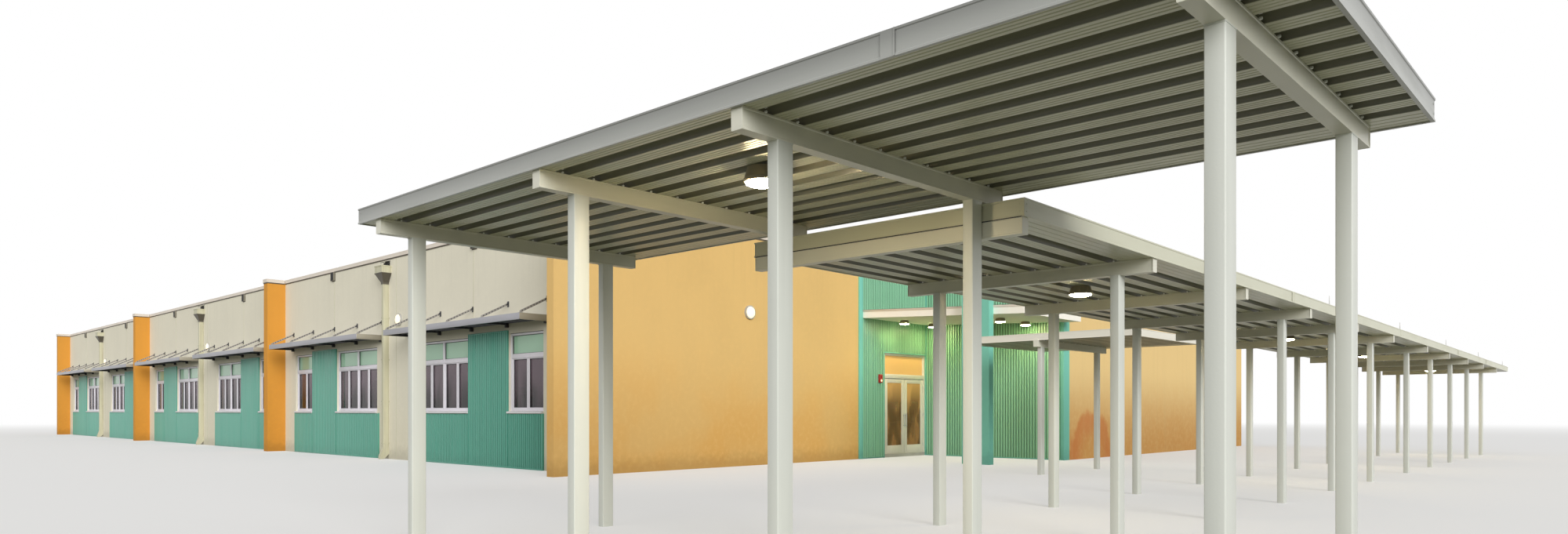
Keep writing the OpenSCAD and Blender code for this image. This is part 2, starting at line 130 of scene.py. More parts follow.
# %% Shader expressions
class Value:
    """A shader socket that takes part in Python expressions"""

    def __init__(self, finish, socket):
        self.finish = finish
        self.socket = socket

    def maths(self, operation, first, second):
        return self.finish.node("ShaderNodeMath", {"operation": operation}, {0: first, 1: second})

    def __add__(self, other):
        return self.maths("ADD", self, other)

    def __radd__(self, other):
        return self.maths("ADD", other, self)

    def __sub__(self, other):
        return self.maths("SUBTRACT", self, other)

    def __rsub__(self, other):
        return self.maths("SUBTRACT", other, self)

    def __mul__(self, other):
        return self.maths("MULTIPLY", self, other)

    def __rmul__(self, other):
        return self.maths("MULTIPLY", other, self)

    def __pow__(self, other):
        return self.maths("POWER", self, other)

    def floor(self):
        return self.maths("FLOOR", self, 0.0)

    def fraction(self):
        return self.maths("FRACT", self, 0.0)

    def highest(self, other):
        return self.maths("MAXIMUM", self, other)


# %% Finishes
class Finish:
    """One material, built node by node"""

    def __init__(self, name):
        self.material = bpy.data.materials.new(name)
        self.material.use_nodes = True
        self.use(self.material.node_tree)

    def use(self, tree):
        self.tree = tree
        self.tree.nodes.clear()

    def node(self, kind, settings, inputs, output=0):
        """Adds a node; sockets are named by number or identifier"""
        made = self.tree.nodes.new(kind)
        for key, value in settings.items():
            setattr(made, key, value)
        for key, value in inputs.items():
            by_name = {s.identifier: s for s in made.inputs}
            socket = made.inputs[key] if isinstance(key, int) else by_name[key]
            if isinstance(value, Value):
                self.tree.links.new(value.socket, socket)
            else:
                socket.default_value = value
        by_name = {s.identifier: s for s in made.outputs}
        return Value(self, made.outputs[output] if isinstance(output, int) else by_name[output])

    def place(self, stretch=(1, 1, 1)):
        """Position on the building in real metres, each axis shortened by stretch"""
        here = self.node("ShaderNodeTexCoord", {}, {}, "Object")
        grow = [1 / SCALE / s for s in stretch]
        shift = [-near_corner[i] * grow[i] for i in range(3)]
        return self.node("ShaderNodeMapping", {}, {"Vector": here, "Location": shift, "Scale": grow})

    def axes(self):
        """Position on the building as three values, x, y and z"""
        apart = self.node("ShaderNodeSeparateXYZ", {}, {0: self.place()})
        return [Value(self, socket) for socket in apart.socket.node.outputs]

    def noise(self, size, detail=2.0, stretch=(1, 1, 1)):
        """Soft random pattern from 0 to 1, with blots of a size in real metres"""
        inputs = {"Vector": self.place(stretch), "Scale": 1 / size, "Detail": detail}
        return self.node("ShaderNodeTexNoise", {}, inputs, "Fac")

    def ramp(self, value, low, high):
        """Rises smoothly from 0 to 1 while value goes from low to high"""
        inputs = {"Value": value, "From Min": low, "From Max": high}
        return self.node("ShaderNodeMapRange", {"interpolation_type": "SMOOTHSTEP"}, inputs, "Result")

    def blend(self, share, first, second):
        """Colour that goes from first to second as share goes from 0 to 1"""
        inputs = {"Factor_Float": share, "A_Color": first, "B_Color": second}
        return self.node("ShaderNodeMix", {"data_type": "RGBA"}, inputs, "Result_Color")

    def relief(self, height, depth):
        """Fine surface relief, with its depth in real metres"""
        inputs = {"Height": height, "Distance": depth * SCALE, "Strength": 1.0}
        return self.node("ShaderNodeBump", {}, inputs, "Normal")

    def end(self, shader, kind="ShaderNodeOutputMaterial"):
        """Sends a shader to the output"""
        last = self.tree.nodes.new(kind)
        self.tree.links.new(shader.socket, last.inputs["Surface"])

    def surface(self, **inputs):
        """Ends the finish in a Principled shader and gives back its material"""
        named = {key.replace("_", " "): value for key, value in inputs.items()}
        self.end(self.node("ShaderNodeBsdfPrincipled", {}, named, "BSDF"))
        return self.material


# %% Paint colours
def linear(level):
    """Light that a 0 to 255 number of a colour chart stands for"""
    level = level / 255
    return level / 12.92 if level <= 0.04045 else ((level + 0.055) / 1.055) ** 2.4


def paint(red, green, blue):
    """Shader colour from the numbers of a colour chart"""
    return (linear(red), linear(green), linear(blue), 1.0)


def shade(colour, factor):
    """The same colour, lighter or darker"""
    return tuple(c * factor for c in colour[:3]) + (1.0,)


print("chart grey 128 is", round(linear(128), 3), "to a shader")

# %% [markdown]
# Light and ground come next. A soft white sky and two low, very wide suns, one
# from the entrance side and one from the front, light the building at a plain
# level, so that a paint looks about as bright as it is written. The ground is pale,
# keeps the building's shadow and fades to the white backdrop far away. Light Path
# makes the backdrop white for the camera, for gloss and for glass only. It also
# makes the ground dark for the light that bounces off it, as soil is, so that the
# undersides of the roofs stay in shade.

# %% Sky, suns and ground
SKY_LIGHT = 0.42
SUNS = {"side_sun": ((0.88, -0.36, 0.30), 2.3), "front_sun": ((0.15, -0.95, 0.27), 0.75)}
FADE_FROM = 24
FADE_TO = 60
SUN_WIDTH = radians(30)
GROUND_HALF = 400
GROUND_PAINT = paint(232, 231, 228)
GROUND_BOUNCE = paint(132, 134, 122)
GROUND_GLOW = 0.4


def ray_kind(finish, kind):
    return finish.node("ShaderNodeLightPath", {}, {}, kind)


def seen_rays(finish):
    """1 for rays that the camera, gloss or glass sends out, else 0"""
    kinds = ("Is Camera Ray", "Is Glossy Ray", "Is Transmission Ray")
    camera_ray, glossy, through = [ray_kind(finish, kind) for kind in kinds]
    return camera_ray.highest(glossy.highest(through))


scene.world = bpy.data.worlds.new("studio")
scene.world.use_nodes = True
sky = Finish("sky_scratch")
bpy.data.materials.remove(sky.material)
sky.use(scene.world.node_tree)
plain = sky.node("ShaderNodeBackground", {}, {"Color": (1, 1, 1, 1), "Strength": SKY_LIGHT})
white = sky.node("ShaderNodeBackground", {}, {"Color": (1, 1, 1, 1), "Strength": 1.0})
sky.end(sky.node("ShaderNodeMixShader", {}, {0: seen_rays(sky), 1: plain, 2: white}),
        "ShaderNodeOutputWorld")

for name, (direction, strength) in SUNS.items():
    light = bpy.data.lights.new(name, "SUN")
    light.energy = strength
    light.angle = SUN_WIDTH
    sun = bpy.data.objects.new(name, light)
    sun.rotation_euler = Vector(direction).to_track_quat("Z", "Y").to_euler()
    scene.collection.objects.link(sun)

ground_finish = Finish("pale_ground")
gx, gy = ground_finish.axes()[:2]
away = (gx * gx + gy * gy) ** 0.5
fade = ground_finish.ramp(away, FADE_FROM / SCALE, FADE_TO / SCALE)
tone = ground_finish.blend(ray_kind(ground_finish, "Is Diffuse Ray"), GROUND_PAINT, GROUND_BOUNCE)
matte = ground_finish.node("ShaderNodeBsdfDiffuse", {}, {"Color": tone})
glow = ground_finish.node("ShaderNodeEmission", {}, {"Color": (1, 1, 1, 1), "Strength": 1.0})
share = (fade * (1 - GROUND_GLOW) + GROUND_GLOW) * seen_rays(ground_finish)
ground_finish.end(ground_finish.node("ShaderNodeMixShader", {}, {0: share, 1: matte, 2: glow}))

ground_mesh = bpy.data.meshes.new("ground")
corners = [(a * GROUND_HALF, b * GROUND_HALF, 0) for a, b in ((-1, -1), (1, -1), (1, 1), (-1, 1))]
ground_mesh.from_pydata(corners, [], [(0, 1, 2, 3)])
ground_mesh.materials.append(ground_finish.material)
ground = bpy.data.objects.new("ground", ground_mesh)
scene.collection.objects.link(ground)
print(len(SUNS), "suns and a sky of strength", SKY_LIGHT)

# %% [markdown]
# The walls are masonry under painted fine stucco. Its looks come from four things
# that are laid over each other: broad uneven patches from the roller, a fine
# mottle, thin runs below the coping where rain washes dust down, and a splash zone
# just above the ground. A grain of 12 mm gives the relief. All the walls share one
# function, and each paint has its own tints.

# %% Stucco paints
WALL_TOP = span("front_wall")[1].z
STUCCO_GRAIN = 0.012
RUNS_WIDTH = 0.16
RUNS_STRETCH = (1, 1, 22)


def dress(finishes):
    """Gives each named node of the construction its finish"""
    for node, finish in finishes.items():
        nodes[node].data.materials.clear()
        nodes[node].data.materials.append(finish)


def stucco(name, tint, low_tint=None, patchy=0.5, runs=0.14):
    """Painted stucco; low_tint is its colour near the ground"""
    finish = Finish(name)
    z = finish.axes()[2]
    patches = finish.ramp(finish.noise(1.7, 3), 0.36, 0.68)
    mottle = finish.noise(0.14, 4)
    wash = finish.ramp(finish.noise(RUNS_WIDTH, 2, RUNS_STRETCH), 0.50, 0.72)
    below_cap = finish.ramp(z, WALL_TOP - 2.2, WALL_TOP)
    splash = 1 - finish.ramp(z + mottle * 0.30, 0.20, 0.62)
    base = tint
    if low_tint:
        base = finish.blend(1 - finish.ramp(z + patches * 0.5, 0.3, 3.6), tint, low_tint)
    uneven = finish.blend(patches * patchy, base, shade(tint, 0.93))
    fine = finish.blend(finish.ramp(mottle, 0.42, 0.75) * 0.35, uneven, shade(tint, 1.04))
    washed = finish.blend(wash * (0.25 + below_cap * 0.75) * runs, fine, shade(tint, 0.80))
    dirty = finish.blend(splash * 0.55, washed, shade(low_tint or tint, 0.62))
    grain = finish.noise(STUCCO_GRAIN, 3) + finish.noise(0.05, 2) * 0.5
    return finish.surface(Base_Color=dirty, Roughness=0.82 + mottle * 0.12,
                          Normal=finish.relief(grain, 0.0016))


CREAM = paint(229, 223, 203)
ORANGE = paint(215, 149, 55)
cream_wall = stucco("cream_stucco", CREAM, paint(222, 215, 192))
white_wall = stucco("white_stucco", paint(250, 246, 234), patchy=0.3, runs=0.1)
orange_fin = stucco("orange_stucco", ORANGE, paint(206, 140, 48), patchy=0.4)
# The near end wall is the orange of the fins painted lighter, as painted sunlight, and its deeper tint
# towards the ground is painted shade.
sunlit_end_wall_paint = stucco("orange_stucco_painted_sunlit", paint(228, 188, 118), paint(222, 170, 92), 0.6, 0.16)
teal_wall = stucco("teal_stucco", paint(122, 198, 178), patchy=0.4)
dress({
    "front_wall": cream_wall, "rear_wall": cream_wall,
    "near_end_wall": sunlit_end_wall_paint, "far_end_wall": orange_fin, "fins": orange_fin,
    "entrance_wall": teal_wall, "over_door_wall": teal_wall, "court_wall": teal_wall,
    "entrance_pier": teal_wall, "entrance_canopy": white_wall,
})
print("wall top, real metres:", round(WALL_TOP, 2))

# %% [markdown]
# The rear wing's end wall carries a rust-red arc, of the kind that water with iron
# in it leaves where it is thrown at a wall for years. The arc is drawn as a band
# around a centre near the ground, broken up by noise, and laid over the paint of
# that one wall.

# %% Stained end wall
STAIN_Y = 14.35
STAIN_RADIUS = 1.3


def stained_stucco(name, tint, low_tint, rust):
    """Painted stucco with an arc of rust-coloured water"""
    finish = Finish(name)
    y, z = finish.axes()[1:]
    cloud = finish.noise(0.5, 4)
    mottle = finish.noise(0.14, 4)
    base = finish.blend(1 - finish.ramp(z + cloud * 0.8, 0.6, 3.0), tint, low_tint)
    fine = finish.blend(finish.ramp(mottle, 0.4, 0.75) * 0.3, base, shade(tint, 1.03))
    across = y - STAIN_Y
    radius = (across * across + z * z) ** 0.5 + cloud * 0.7 - 0.35
    inner = finish.ramp(radius, STAIN_RADIUS - 1.1, STAIN_RADIUS - 0.1)
    outer = finish.ramp(radius, STAIN_RADIUS - 0.05, STAIN_RADIUS + 0.2)
    stained = finish.blend((inner - outer) * 0.62, fine, rust)
    wash = finish.ramp(finish.noise(RUNS_WIDTH, 2, RUNS_STRETCH), 0.50, 0.72)
    washed = finish.blend(wash * 0.12, stained, shade(tint, 0.82))
    return finish.surface(Base_Color=washed, Roughness=0.84 + mottle * 0.1,
                          Normal=finish.relief(finish.noise(STUCCO_GRAIN, 3), 0.0016))


RUST = paint(204, 112, 50)
wing_paint = stained_stucco("stained_orange_stucco", paint(230, 198, 136), paint(218, 162, 90), RUST)
dress({"wing_end_wall": wing_paint})
print("rust arc, real metres:", STAIN_RADIUS, "about y =", STAIN_Y)

# %% [markdown]
# Floors and the flat roof are seen from above and through the doors. The floor is
# trowelled concrete with darker clouds. The roof is a pale membrane, laid in
# strips a metre and a half wide whose welded laps show as thin raised lines.

# %% Floor and roof finishes
LAP_PITCH = 1.5


def concrete():
    finish = Finish("concrete")
    clouds = finish.noise(0.8, 5)
    pores = finish.noise(0.02, 3)
    base = finish.blend(finish.ramp(clouds, 0.3, 0.7), paint(196, 193, 184), paint(172, 169, 160))
    return finish.surface(Base_Color=base, Roughness=0.65 + clouds * 0.2,
                          Normal=finish.relief(pores, 0.001))


def membrane():
    finish = Finish("roof_membrane")
    y = finish.axes()[1]
    strip = (y * (1 / LAP_PITCH)).fraction()
    lap = finish.ramp(strip, 0.0, 0.03) - finish.ramp(strip, 0.05, 0.08)
    pond = finish.ramp(finish.noise(3.0, 4), 0.45, 0.7)
    base = finish.blend(pond * 0.5, paint(214, 214, 208), paint(186, 184, 174))
    lined = finish.blend(lap * 0.5, base, paint(160, 160, 154))
    return finish.surface(Base_Color=lined, Roughness=0.7 + pond * 0.1, Normal=finish.relief(lap, 0.003))


dress({"floor_slab": concrete(), "roof_slab": membrane()})
print("roof laps every", LAP_PITCH, "m")

# %% [markdown]
# Metal comes in many coats here, but they behave alike: a sprayed paint film with
# slight waviness, faint streaks where water runs, and dust that dulls the gloss.
# One function makes them all. The direction of the streaks is an argument, since
# posts are streaked upright and fascias along their length.

# %% Coated metal
def coated(name, tint, gloss=0.38, metallic=0.0, streak=(1, 1, 16), dust=0.25, dust_tint=None, shade_heights=None):
    """Powder-coated or painted metal; the last argument is a pair of heights, between which the coat darkens
    upward as painted shade
    """
    finish = Finish(name)
    cloud = finish.noise(0.9, 3)
    runs = finish.ramp(finish.noise(0.09, 3, streak), 0.46, 0.74)
    speck = finish.noise(0.012, 2)
    base = finish.blend(finish.ramp(cloud, 0.35, 0.7) * 0.5, tint, shade(tint, 0.94))
    dust_and_shade = finish.blend(runs * dust, base, dust_tint or shade(tint, 0.84))
    # Above the first of the two heights the coat is painted darker: painted shade.
    if shade_heights:
        dust_and_shade = finish.blend(finish.ramp(finish.axes()[2], *shade_heights), dust_and_shade, shade(tint, 0.62))
    return finish.surface(Base_Color=dust_and_shade, Roughness=gloss + runs * 0.10 + cloud * 0.06, Metallic=metallic,
                          Normal=finish.relief(speck + cloud * 0.4, 0.0004))


# %% Deck coat
def deck_coat():
    """Deck paint; an attribute marks the recesses, which are painted dark as painted shade and dust"""
    finish = Finish("deck_paint")
    recess = finish.node("ShaderNodeAttribute", {"attribute_name": "recess"}, {}, "Fac")
    cloud = finish.noise(1.1, 3)
    runs = finish.ramp(finish.noise(0.10, 3, (9, 9, 1)), 0.44, 0.72)
    pan = finish.blend(runs * 0.35, paint(208, 208, 180), paint(184, 178, 146))
    # The recesses are painted dark: painted shade, with some dust.
    base = finish.blend(recess, pan, paint(106, 106, 90))
    return finish.surface(Base_Color=finish.blend(cloud * 0.3, base, paint(120, 112, 84)),
                          Roughness=0.28 + cloud * 0.08)


# %% Coats of all the metal
ALONG = (10, 10, 1)
UPRIGHT = (1, 1, 8)
post_paint = coated("post_paint", paint(216, 218, 209), 0.34)
beam_paint = coated("beam_paint", paint(222, 220, 204), 0.36, streak=(6, 6, 1))
# The three fascias are one white metal painted at three levels: the drop-off's darker as painted shade, the
# long roof's and the link's lighter as painted lamp and sky light.
dropoff_fascia_shaded_tone = coated("dropoff_fascia_shaded_tone", paint(174, 175, 170), 0.32, 0.0, ALONG, 0.25, shade_heights=(3.32, 3.48))
walkway_fascia_lit_tone = coated("walkway_fascia_lit_tone", paint(206, 205, 182), 0.32, 0.0, ALONG, 0.25)
link_fascia_lit_tone = coated("link_fascia_lit_tone", paint(232, 228, 214), 0.32, 0.0, ALONG, 0.2)
coping_paint = coated("coping_paint", paint(218, 207, 192), 0.4, 0.0, (12, 12, 1), 0.35)
window_paint = coated("window_aluminium", paint(226, 222, 228), 0.32, 0.0, UPRIGHT, 0.18)
sill_paint = coated("sill_paint", paint(228, 225, 226), 0.5, 0.0, (4, 4, 1), 0.3)
shade_paint = coated("shade_paint", paint(164, 163, 168), 0.34, 0.3, (12, 12, 1), 0.3)
# The end coat is the shade metal painted browner and darker: painted shade on the shades' ends.
sunshade_end_painted_shade = coated("sunshade_end_painted_shade", paint(156, 149, 132), 0.4, 0.2, (12, 12, 1), 0.3)
dark_paint = coated("dark_paint", paint(52, 52, 54), 0.45)
# The soffit coat is near black: painted shade under the sunshades, on their lining sheets and outriggers.
soffit_painted_shade = coated("soffit_painted_shade", paint(44, 45, 48), 0.55)
strut_paint = coated("strut_paint", paint(158, 154, 148), 0.4, 0.3)
pipe_paint = coated("pipe_paint", paint(198, 194, 166), 0.45, 0.0, (1, 1, 20), 0.5, paint(168, 160, 132))
# The funnel coat is dark grey-brown: painted shade on the downward-facing funnels.
funnel_painted_shade = coated("funnel_painted_shade", paint(88, 82, 70), 0.45)
throat_painted_shade = coated("throat_painted_shade", paint(24, 22, 20), 0.7)
scupper_paint = coated("scupper_paint", paint(126, 120, 104), 0.45)
cleat_painted_shadow = coated("cleat_painted_shadow", paint(84, 76, 60), 0.5)
deck_paint = deck_coat()
screw_paint = coated("screw_paint", paint(252, 252, 248), 0.25)
bronze_paint = coated("bronze_paint", paint(150, 140, 118), 0.4)
bezel_paint = coated("bezel_paint", paint(186, 184, 178), 0.35, 0.3)
door_paint = coated("door_aluminium", paint(230, 224, 208), 0.34, 0.0, UPRIGHT, 0.2)
steel_paint = coated("brushed_steel", paint(190, 190, 186), 0.28, 0.9, (1, 1, 30), 0.3)
red_paint = coated("red_plastic", paint(178, 44, 36), 0.3)
print("materials so far:", len(bpy.data.materials))

# %% [markdown]
# The ribbed cladding is factory-painted sheet. Its valleys are painted darker,
# as painted shade between the ribs, the coat has faded unevenly from sheet to
# sheet, and splashed soil stains its foot. The ribs themselves are real geometry, made later.

# %% Cladding paint
SHEET_W = 0.92


def cladding(name, tint):
    finish = Finish(name)
    x, y, z = finish.axes()
    number = ((x + y) * (1 / SHEET_W)).floor()
    sheet = finish.node("ShaderNodeTexWhiteNoise", {"noise_dimensions": "1D"}, {"W": number}, "Value")
    runs = finish.ramp(finish.noise(0.07, 3, (1, 1, 24)), 0.45, 0.75)
    foot = 1 - finish.ramp(z + finish.noise(0.2, 3) * 0.4, 0.15, 0.6)
    base = finish.blend(sheet * 0.55, tint, shade(tint, 0.90))
    streaked = finish.blend(runs * 0.32, base, shade(tint, 1.14))
    recess = finish.node("ShaderNodeAttribute", {"attribute_name": "recess"}, {}, "Fac")
    # Valleys, marked by the recess attribute, are painted dark: painted shade between the ribs.
    valley_shaded = finish.blend(recess * 0.9, streaked, shade(tint, 0.40))
    stained = finish.blend(foot * 0.5, valley_shaded, shade(tint, 0.66))
    return finish.surface(Base_Color=stained, Roughness=0.36 + runs * 0.16,
                          Normal=finish.relief(finish.noise(0.3, 2), 0.0012))


teal_sheet = cladding("teal_cladding", paint(86, 164, 142))
# The court's cladding is the same teal sheet painted lighter and warmer: painted lamplight under the porch.
lamplit_court_sheet = cladding("court_cladding_painted_lamplit", paint(144, 202, 166))
print("painted sheets are", SHEET_W, "m wide")

# %% [markdown]
# The panes are dark, slightly bronzed and mirror-like, and they carry painted
# reflections: they lighten towards their head, with darker upright shapes that
# stand for reflected trees and for curtains inside. The lights over the transom
# are backed by pale film and look soft green. A share of each pane is let through,
# so that the frames on the far side and the floor show faintly inside.

# %% Glass
TRANSOM_Z = 2.70
DOOR_HEAD_Z = 2.45


def glazing(name, foot, head, upper, split_z, clear, glow=0.0):
    """Pane that goes from a foot to a head colour, with other glass over split_z"""
    finish = Finish(name)
    z = finish.axes()[2]
    above = finish.ramp(z, split_z - 0.01, split_z + 0.01)
    ripple = finish.noise(0.8, 1)
    # The darker upright shapes and the rise towards the head are painted: reflections of trees and sky, and
    # curtains behind the glass.
    curtains_and_reflections = finish.ramp(finish.noise(0.45, 3, (1, 1, 3)), 0.42, 0.62)
    rise = finish.ramp(z + curtains_and_reflections * 0.35, split_z - 1.1, split_z)
    low = finish.blend(rise, finish.blend(curtains_and_reflections, shade(foot, 0.45), foot), head)
    high = finish.blend(finish.ramp(z, split_z, split_z + 0.6), upper, shade(upper, 1.15))
    both = finish.blend(above, low, high)
    return finish.surface(Base_Color=both, Roughness=0.03 + ripple * 0.03,
                          Alpha=1 - clear + above * clear * 0.7, IOR=1.52,
                          Emission_Color=both, Emission_Strength=glow,
                          Normal=finish.relief(ripple, 0.004))


window_pane = glazing("window_pane", paint(46, 38, 36), paint(118, 98, 108), paint(166, 206, 176),
                      TRANSOM_Z, 0.3)
# The door glass is painted warm, lighter towards its head, and glows a little: painted light from the lit
# room behind it.
door_pane_painted_lamplit = glazing("door_pane_painted_lamplit", paint(150, 110, 64), paint(212, 166, 98), paint(222, 178, 112),
                    DOOR_HEAD_Z, 0.25, 0.22)
dress({
    "window_glass": window_pane, "transom_glass": door_pane_painted_lamplit,
    "left_door_glass": door_pane_painted_lamplit, "right_door_glass": door_pane_painted_lamplit,
})
print("transom glass from", TRANSOM_Z, "m up")

# %% [markdown]
# A lamp's lens is moulded with small cells that break up the light. The lens glows
# itself, so a lamp also lights what is near it. The lamps under the roofs are on,
# and those on the open walls only look pale.

# %% Lamp lenses
LAMP_GLOW = 110.0


def lamp_lens(name, tint, glow):
    finish = Finish(name)
    cell = finish.node("ShaderNodeTexVoronoi", {}, {"Vector": finish.place(), "Scale": 45.0}, "Distance")
    body = finish.blend(cell * 0.4, tint, shade(tint, 0.85))
    return finish.surface(Base_Color=body, Roughness=0.25 + cell * 0.1, Emission_Color=body,
                          Emission_Strength=glow, Normal=finish.relief(cell, 0.001))


warm_lens = lamp_lens("warm_lens", paint(255, 231, 172), 0.9 * LAMP_GLOW)
dropoff_lens = lamp_lens("dropoff_lens", paint(255, 232, 184), 2.0 * LAMP_GLOW)
wall_lens = lamp_lens("wall_lens", paint(255, 240, 206), 0.75)
print("lamps under the roofs glow at up to", 2.0 * LAMP_GLOW)

# %% [markdown]
# Most pieces of a building are straight: a bar with some outline, cut to length.
# A few helpers draw such bars, boxes, folded sheets, tapering boxes and turned
# shapes into a mesh that is still being edited. Each closed shape gets its faces
# turned outward as it is added.

# %% Boxes, bars and folded sheets
AXIS_PLACE = {
    "x": lambda u, v, w: (w, u, v),
    "y": lambda u, v, w: (u, w, v),
    "z": lambda u, v, w: (u, v, w),
}
BOX_FACES = ((0, 2, 3, 1), (4, 5, 7, 6), (0, 1, 5, 4), (2, 6, 7, 3), (0, 4, 6, 2), (1, 3, 7, 5))


def block(shape, x, y, z):
    """Box between two places on each axis"""
    corners = [shape.verts.new((a, b, c)) for c in z for b in y for a in x]
    for face in BOX_FACES:
        shape.faces.new([corners[i] for i in face])


def prism(shape, outline, axis, ends):
    """Bar with an outline, between two places on an axis"""
    rings = [[shape.verts.new(AXIS_PLACE[axis](u, v, w)) for u, v in outline] for w in ends]
    low, high = rings
    faces = [shape.faces.new((low[i - 1], low[i], high[i], high[i - 1])) for i in range(len(outline))]
    faces += [shape.faces.new(low), shape.faces.new(high)]
    bmesh.ops.recalc_face_normals(shape, faces=faces)


def ribbon(shape, line, axis, ends, facing, marks=None):
    """Folded open sheet along an axis, with its front towards facing"""
    layer = shape.verts.layers.float.new("recess") if marks else None
    low, high = [[shape.verts.new(AXIS_PLACE[axis](u, v, w)) for u, v in line] for w in ends]
    for vert, mark in zip(low + high, (marks or []) * 2):
        vert[layer] = mark
    faces = [shape.faces.new((low[i - 1], low[i], high[i], high[i - 1])) for i in range(1, len(line))]
    shape.normal_update()
    front = sum((f.normal * f.calc_area() for f in faces), Vector())
    if front.dot(Vector(facing)) < 0:
        bmesh.ops.reverse_faces(shape, faces=faces)


# %% Tapering and turned shapes
def loft(shape, sections):
    """Closed solid through level rectangles (x0, x1, y0, y1, z)"""
    rings = []
    for x0, x1, y0, y1, z in sections:
        rings.append([shape.verts.new((x, y, z)) for x, y in ((x0, y0), (x1, y0), (x1, y1), (x0, y1))])
    faces = [shape.faces.new((low[i - 1], low[i], high[i], high[i - 1]))
             for low, high in zip(rings, rings[1:]) for i in range(4)]
    faces += [shape.faces.new(rings[0]), shape.faces.new(rings[-1])]
    bmesh.ops.recalc_face_normals(shape, faces=faces)


def turned(shape, profile, place, turns=24):
    """Solid turned from (radius, height) points, from axis to axis"""
    rings = []
    for radius, height in profile:
        count = turns if radius else 1
        angles = [2 * pi * k / turns for k in range(count)]
        points = [Vector((radius * cos(a), radius * sin(a), height)) for a in angles]
        rings.append([shape.verts.new(place @ point) for point in points])
    faces = []
    for low, high in zip(rings, rings[1:]):
        for k in range(turns):
            corners = [low[(k - 1) % len(low)], low[k % len(low)]]
            corners += [high[k % len(high)], high[(k - 1) % len(high)]]
            faces.append(shape.faces.new(list(dict.fromkeys(corners))))
    bmesh.ops.recalc_face_normals(shape, faces=faces)


# %% Outlines and ranges
def rounded(width, height, radius, steps=3):
    """Outline of a rectangle with round corners, about its middle"""
    points = []
    for turn, (a, b) in enumerate(((1, 1), (-1, 1), (-1, -1), (1, -1))):
        for k in range(steps + 1):
            angle = (turn + k / steps) * pi / 2
            points.append((a * (width / 2 - radius) + radius * cos(angle),
                           b * (height / 2 - radius) + radius * sin(angle)))
    return points


def moved(outline, du, dv):
    return [(u + du, v + dv) for u, v in outline]


def about(middle, width):
    """The two ends of a width about its middle"""
    return (middle - width / 2, middle + width / 2)


def shortened(ends, gap):
    """A range between two places, made shorter by a gap at both ends"""
    return (ends[0] + gap, ends[1] - gap)


def scaled(profile, radius, height):
    """Profile written in shares of a radius and a height, at its real size"""
    return [(r * radius, h * height) for r, h in profile]


print("an outline with round corners has", len(rounded(1, 1, 0.1)), "points")


# %% Stamping
def stamp(shape, mesh, place=Matrix()):
    """Adds a finished mesh at a place; a mirrored copy keeps its faces outward"""
    first_vert = len(shape.verts)
    first_face = len(shape.faces)
    shape.from_mesh(mesh)
    shape.verts.ensure_lookup_table()
    shape.faces.ensure_lookup_table()
    bmesh.ops.transform(shape, matrix=place, verts=shape.verts[first_vert:])
    if place.determinant() < 0:
        bmesh.ops.reverse_faces(shape, faces=shape.faces[first_face:])


def as_mesh(shape):
    mesh = bpy.data.meshes.new("part")
    shape.to_mesh(mesh)
    shape.free()
    return mesh


# %% [markdown]
# Ribs, rivets, straps and seam covers all repeat in even rows, so one Geometry
# Nodes tree makes them. It puts copies of the incoming shape along a line, then
# copies that line into rows, welds copies that touch, and gives them their finish.
# The number and the step of the copies are named inputs. The result is turned into
# a plain mesh straight away.

# %% Repeat in rows
WELD = 1e-4


def rows_tree():
    tree = bpy.data.node_groups.new("repeat_in_rows", "GeometryNodeTree")
    kinds = {"Shape": "Geometry", "Count": "Int", "Step": "Vector", "Rows": "Int", "Row step": "Vector",
             "Finish": "Material"}
    for name, kind in kinds.items():
        tree.interface.new_socket(name, in_out="INPUT", socket_type="NodeSocket" + kind)
    tree.interface.new_socket("Copies", in_out="OUTPUT", socket_type="NodeSocketGeometry")
    entry = tree.nodes.new("NodeGroupInput")
    copies = entry.outputs["Shape"]
    for count, step in (("Count", "Step"), ("Rows", "Row step")):
        line = tree.nodes.new("GeometryNodeMeshLine")
        on_points = tree.nodes.new("GeometryNodeInstanceOnPoints")
        real = tree.nodes.new("GeometryNodeRealizeInstances")
        line.mode = "OFFSET"
        tree.links.new(entry.outputs[count], line.inputs["Count"])
        tree.links.new(entry.outputs[step], line.inputs["Offset"])
        tree.links.new(line.outputs["Mesh"], on_points.inputs["Points"])
        tree.links.new(copies, on_points.inputs["Instance"])
        tree.links.new(on_points.outputs["Instances"], real.inputs["Geometry"])
        copies = real.outputs["Geometry"]
    weld = tree.nodes.new("GeometryNodeMergeByDistance")
    weld.inputs["Distance"].default_value = WELD
    real = tree.nodes.new("GeometryNodeRealizeInstances")
    coat = tree.nodes.new("GeometryNodeSetMaterial")
    leave = tree.nodes.new("NodeGroupOutput")
    tree.links.new(copies, weld.inputs["Geometry"])
    tree.links.new(weld.outputs["Geometry"], real.inputs["Geometry"])
    tree.links.new(real.outputs["Geometry"], coat.inputs["Geometry"])
    tree.links.new(entry.outputs["Finish"], coat.inputs["Material"])
    tree.links.new(coat.outputs["Geometry"], leave.inputs["Copies"])
    return tree


ROWS = rows_tree()
print("nodes of the tree:", len(ROWS.nodes))


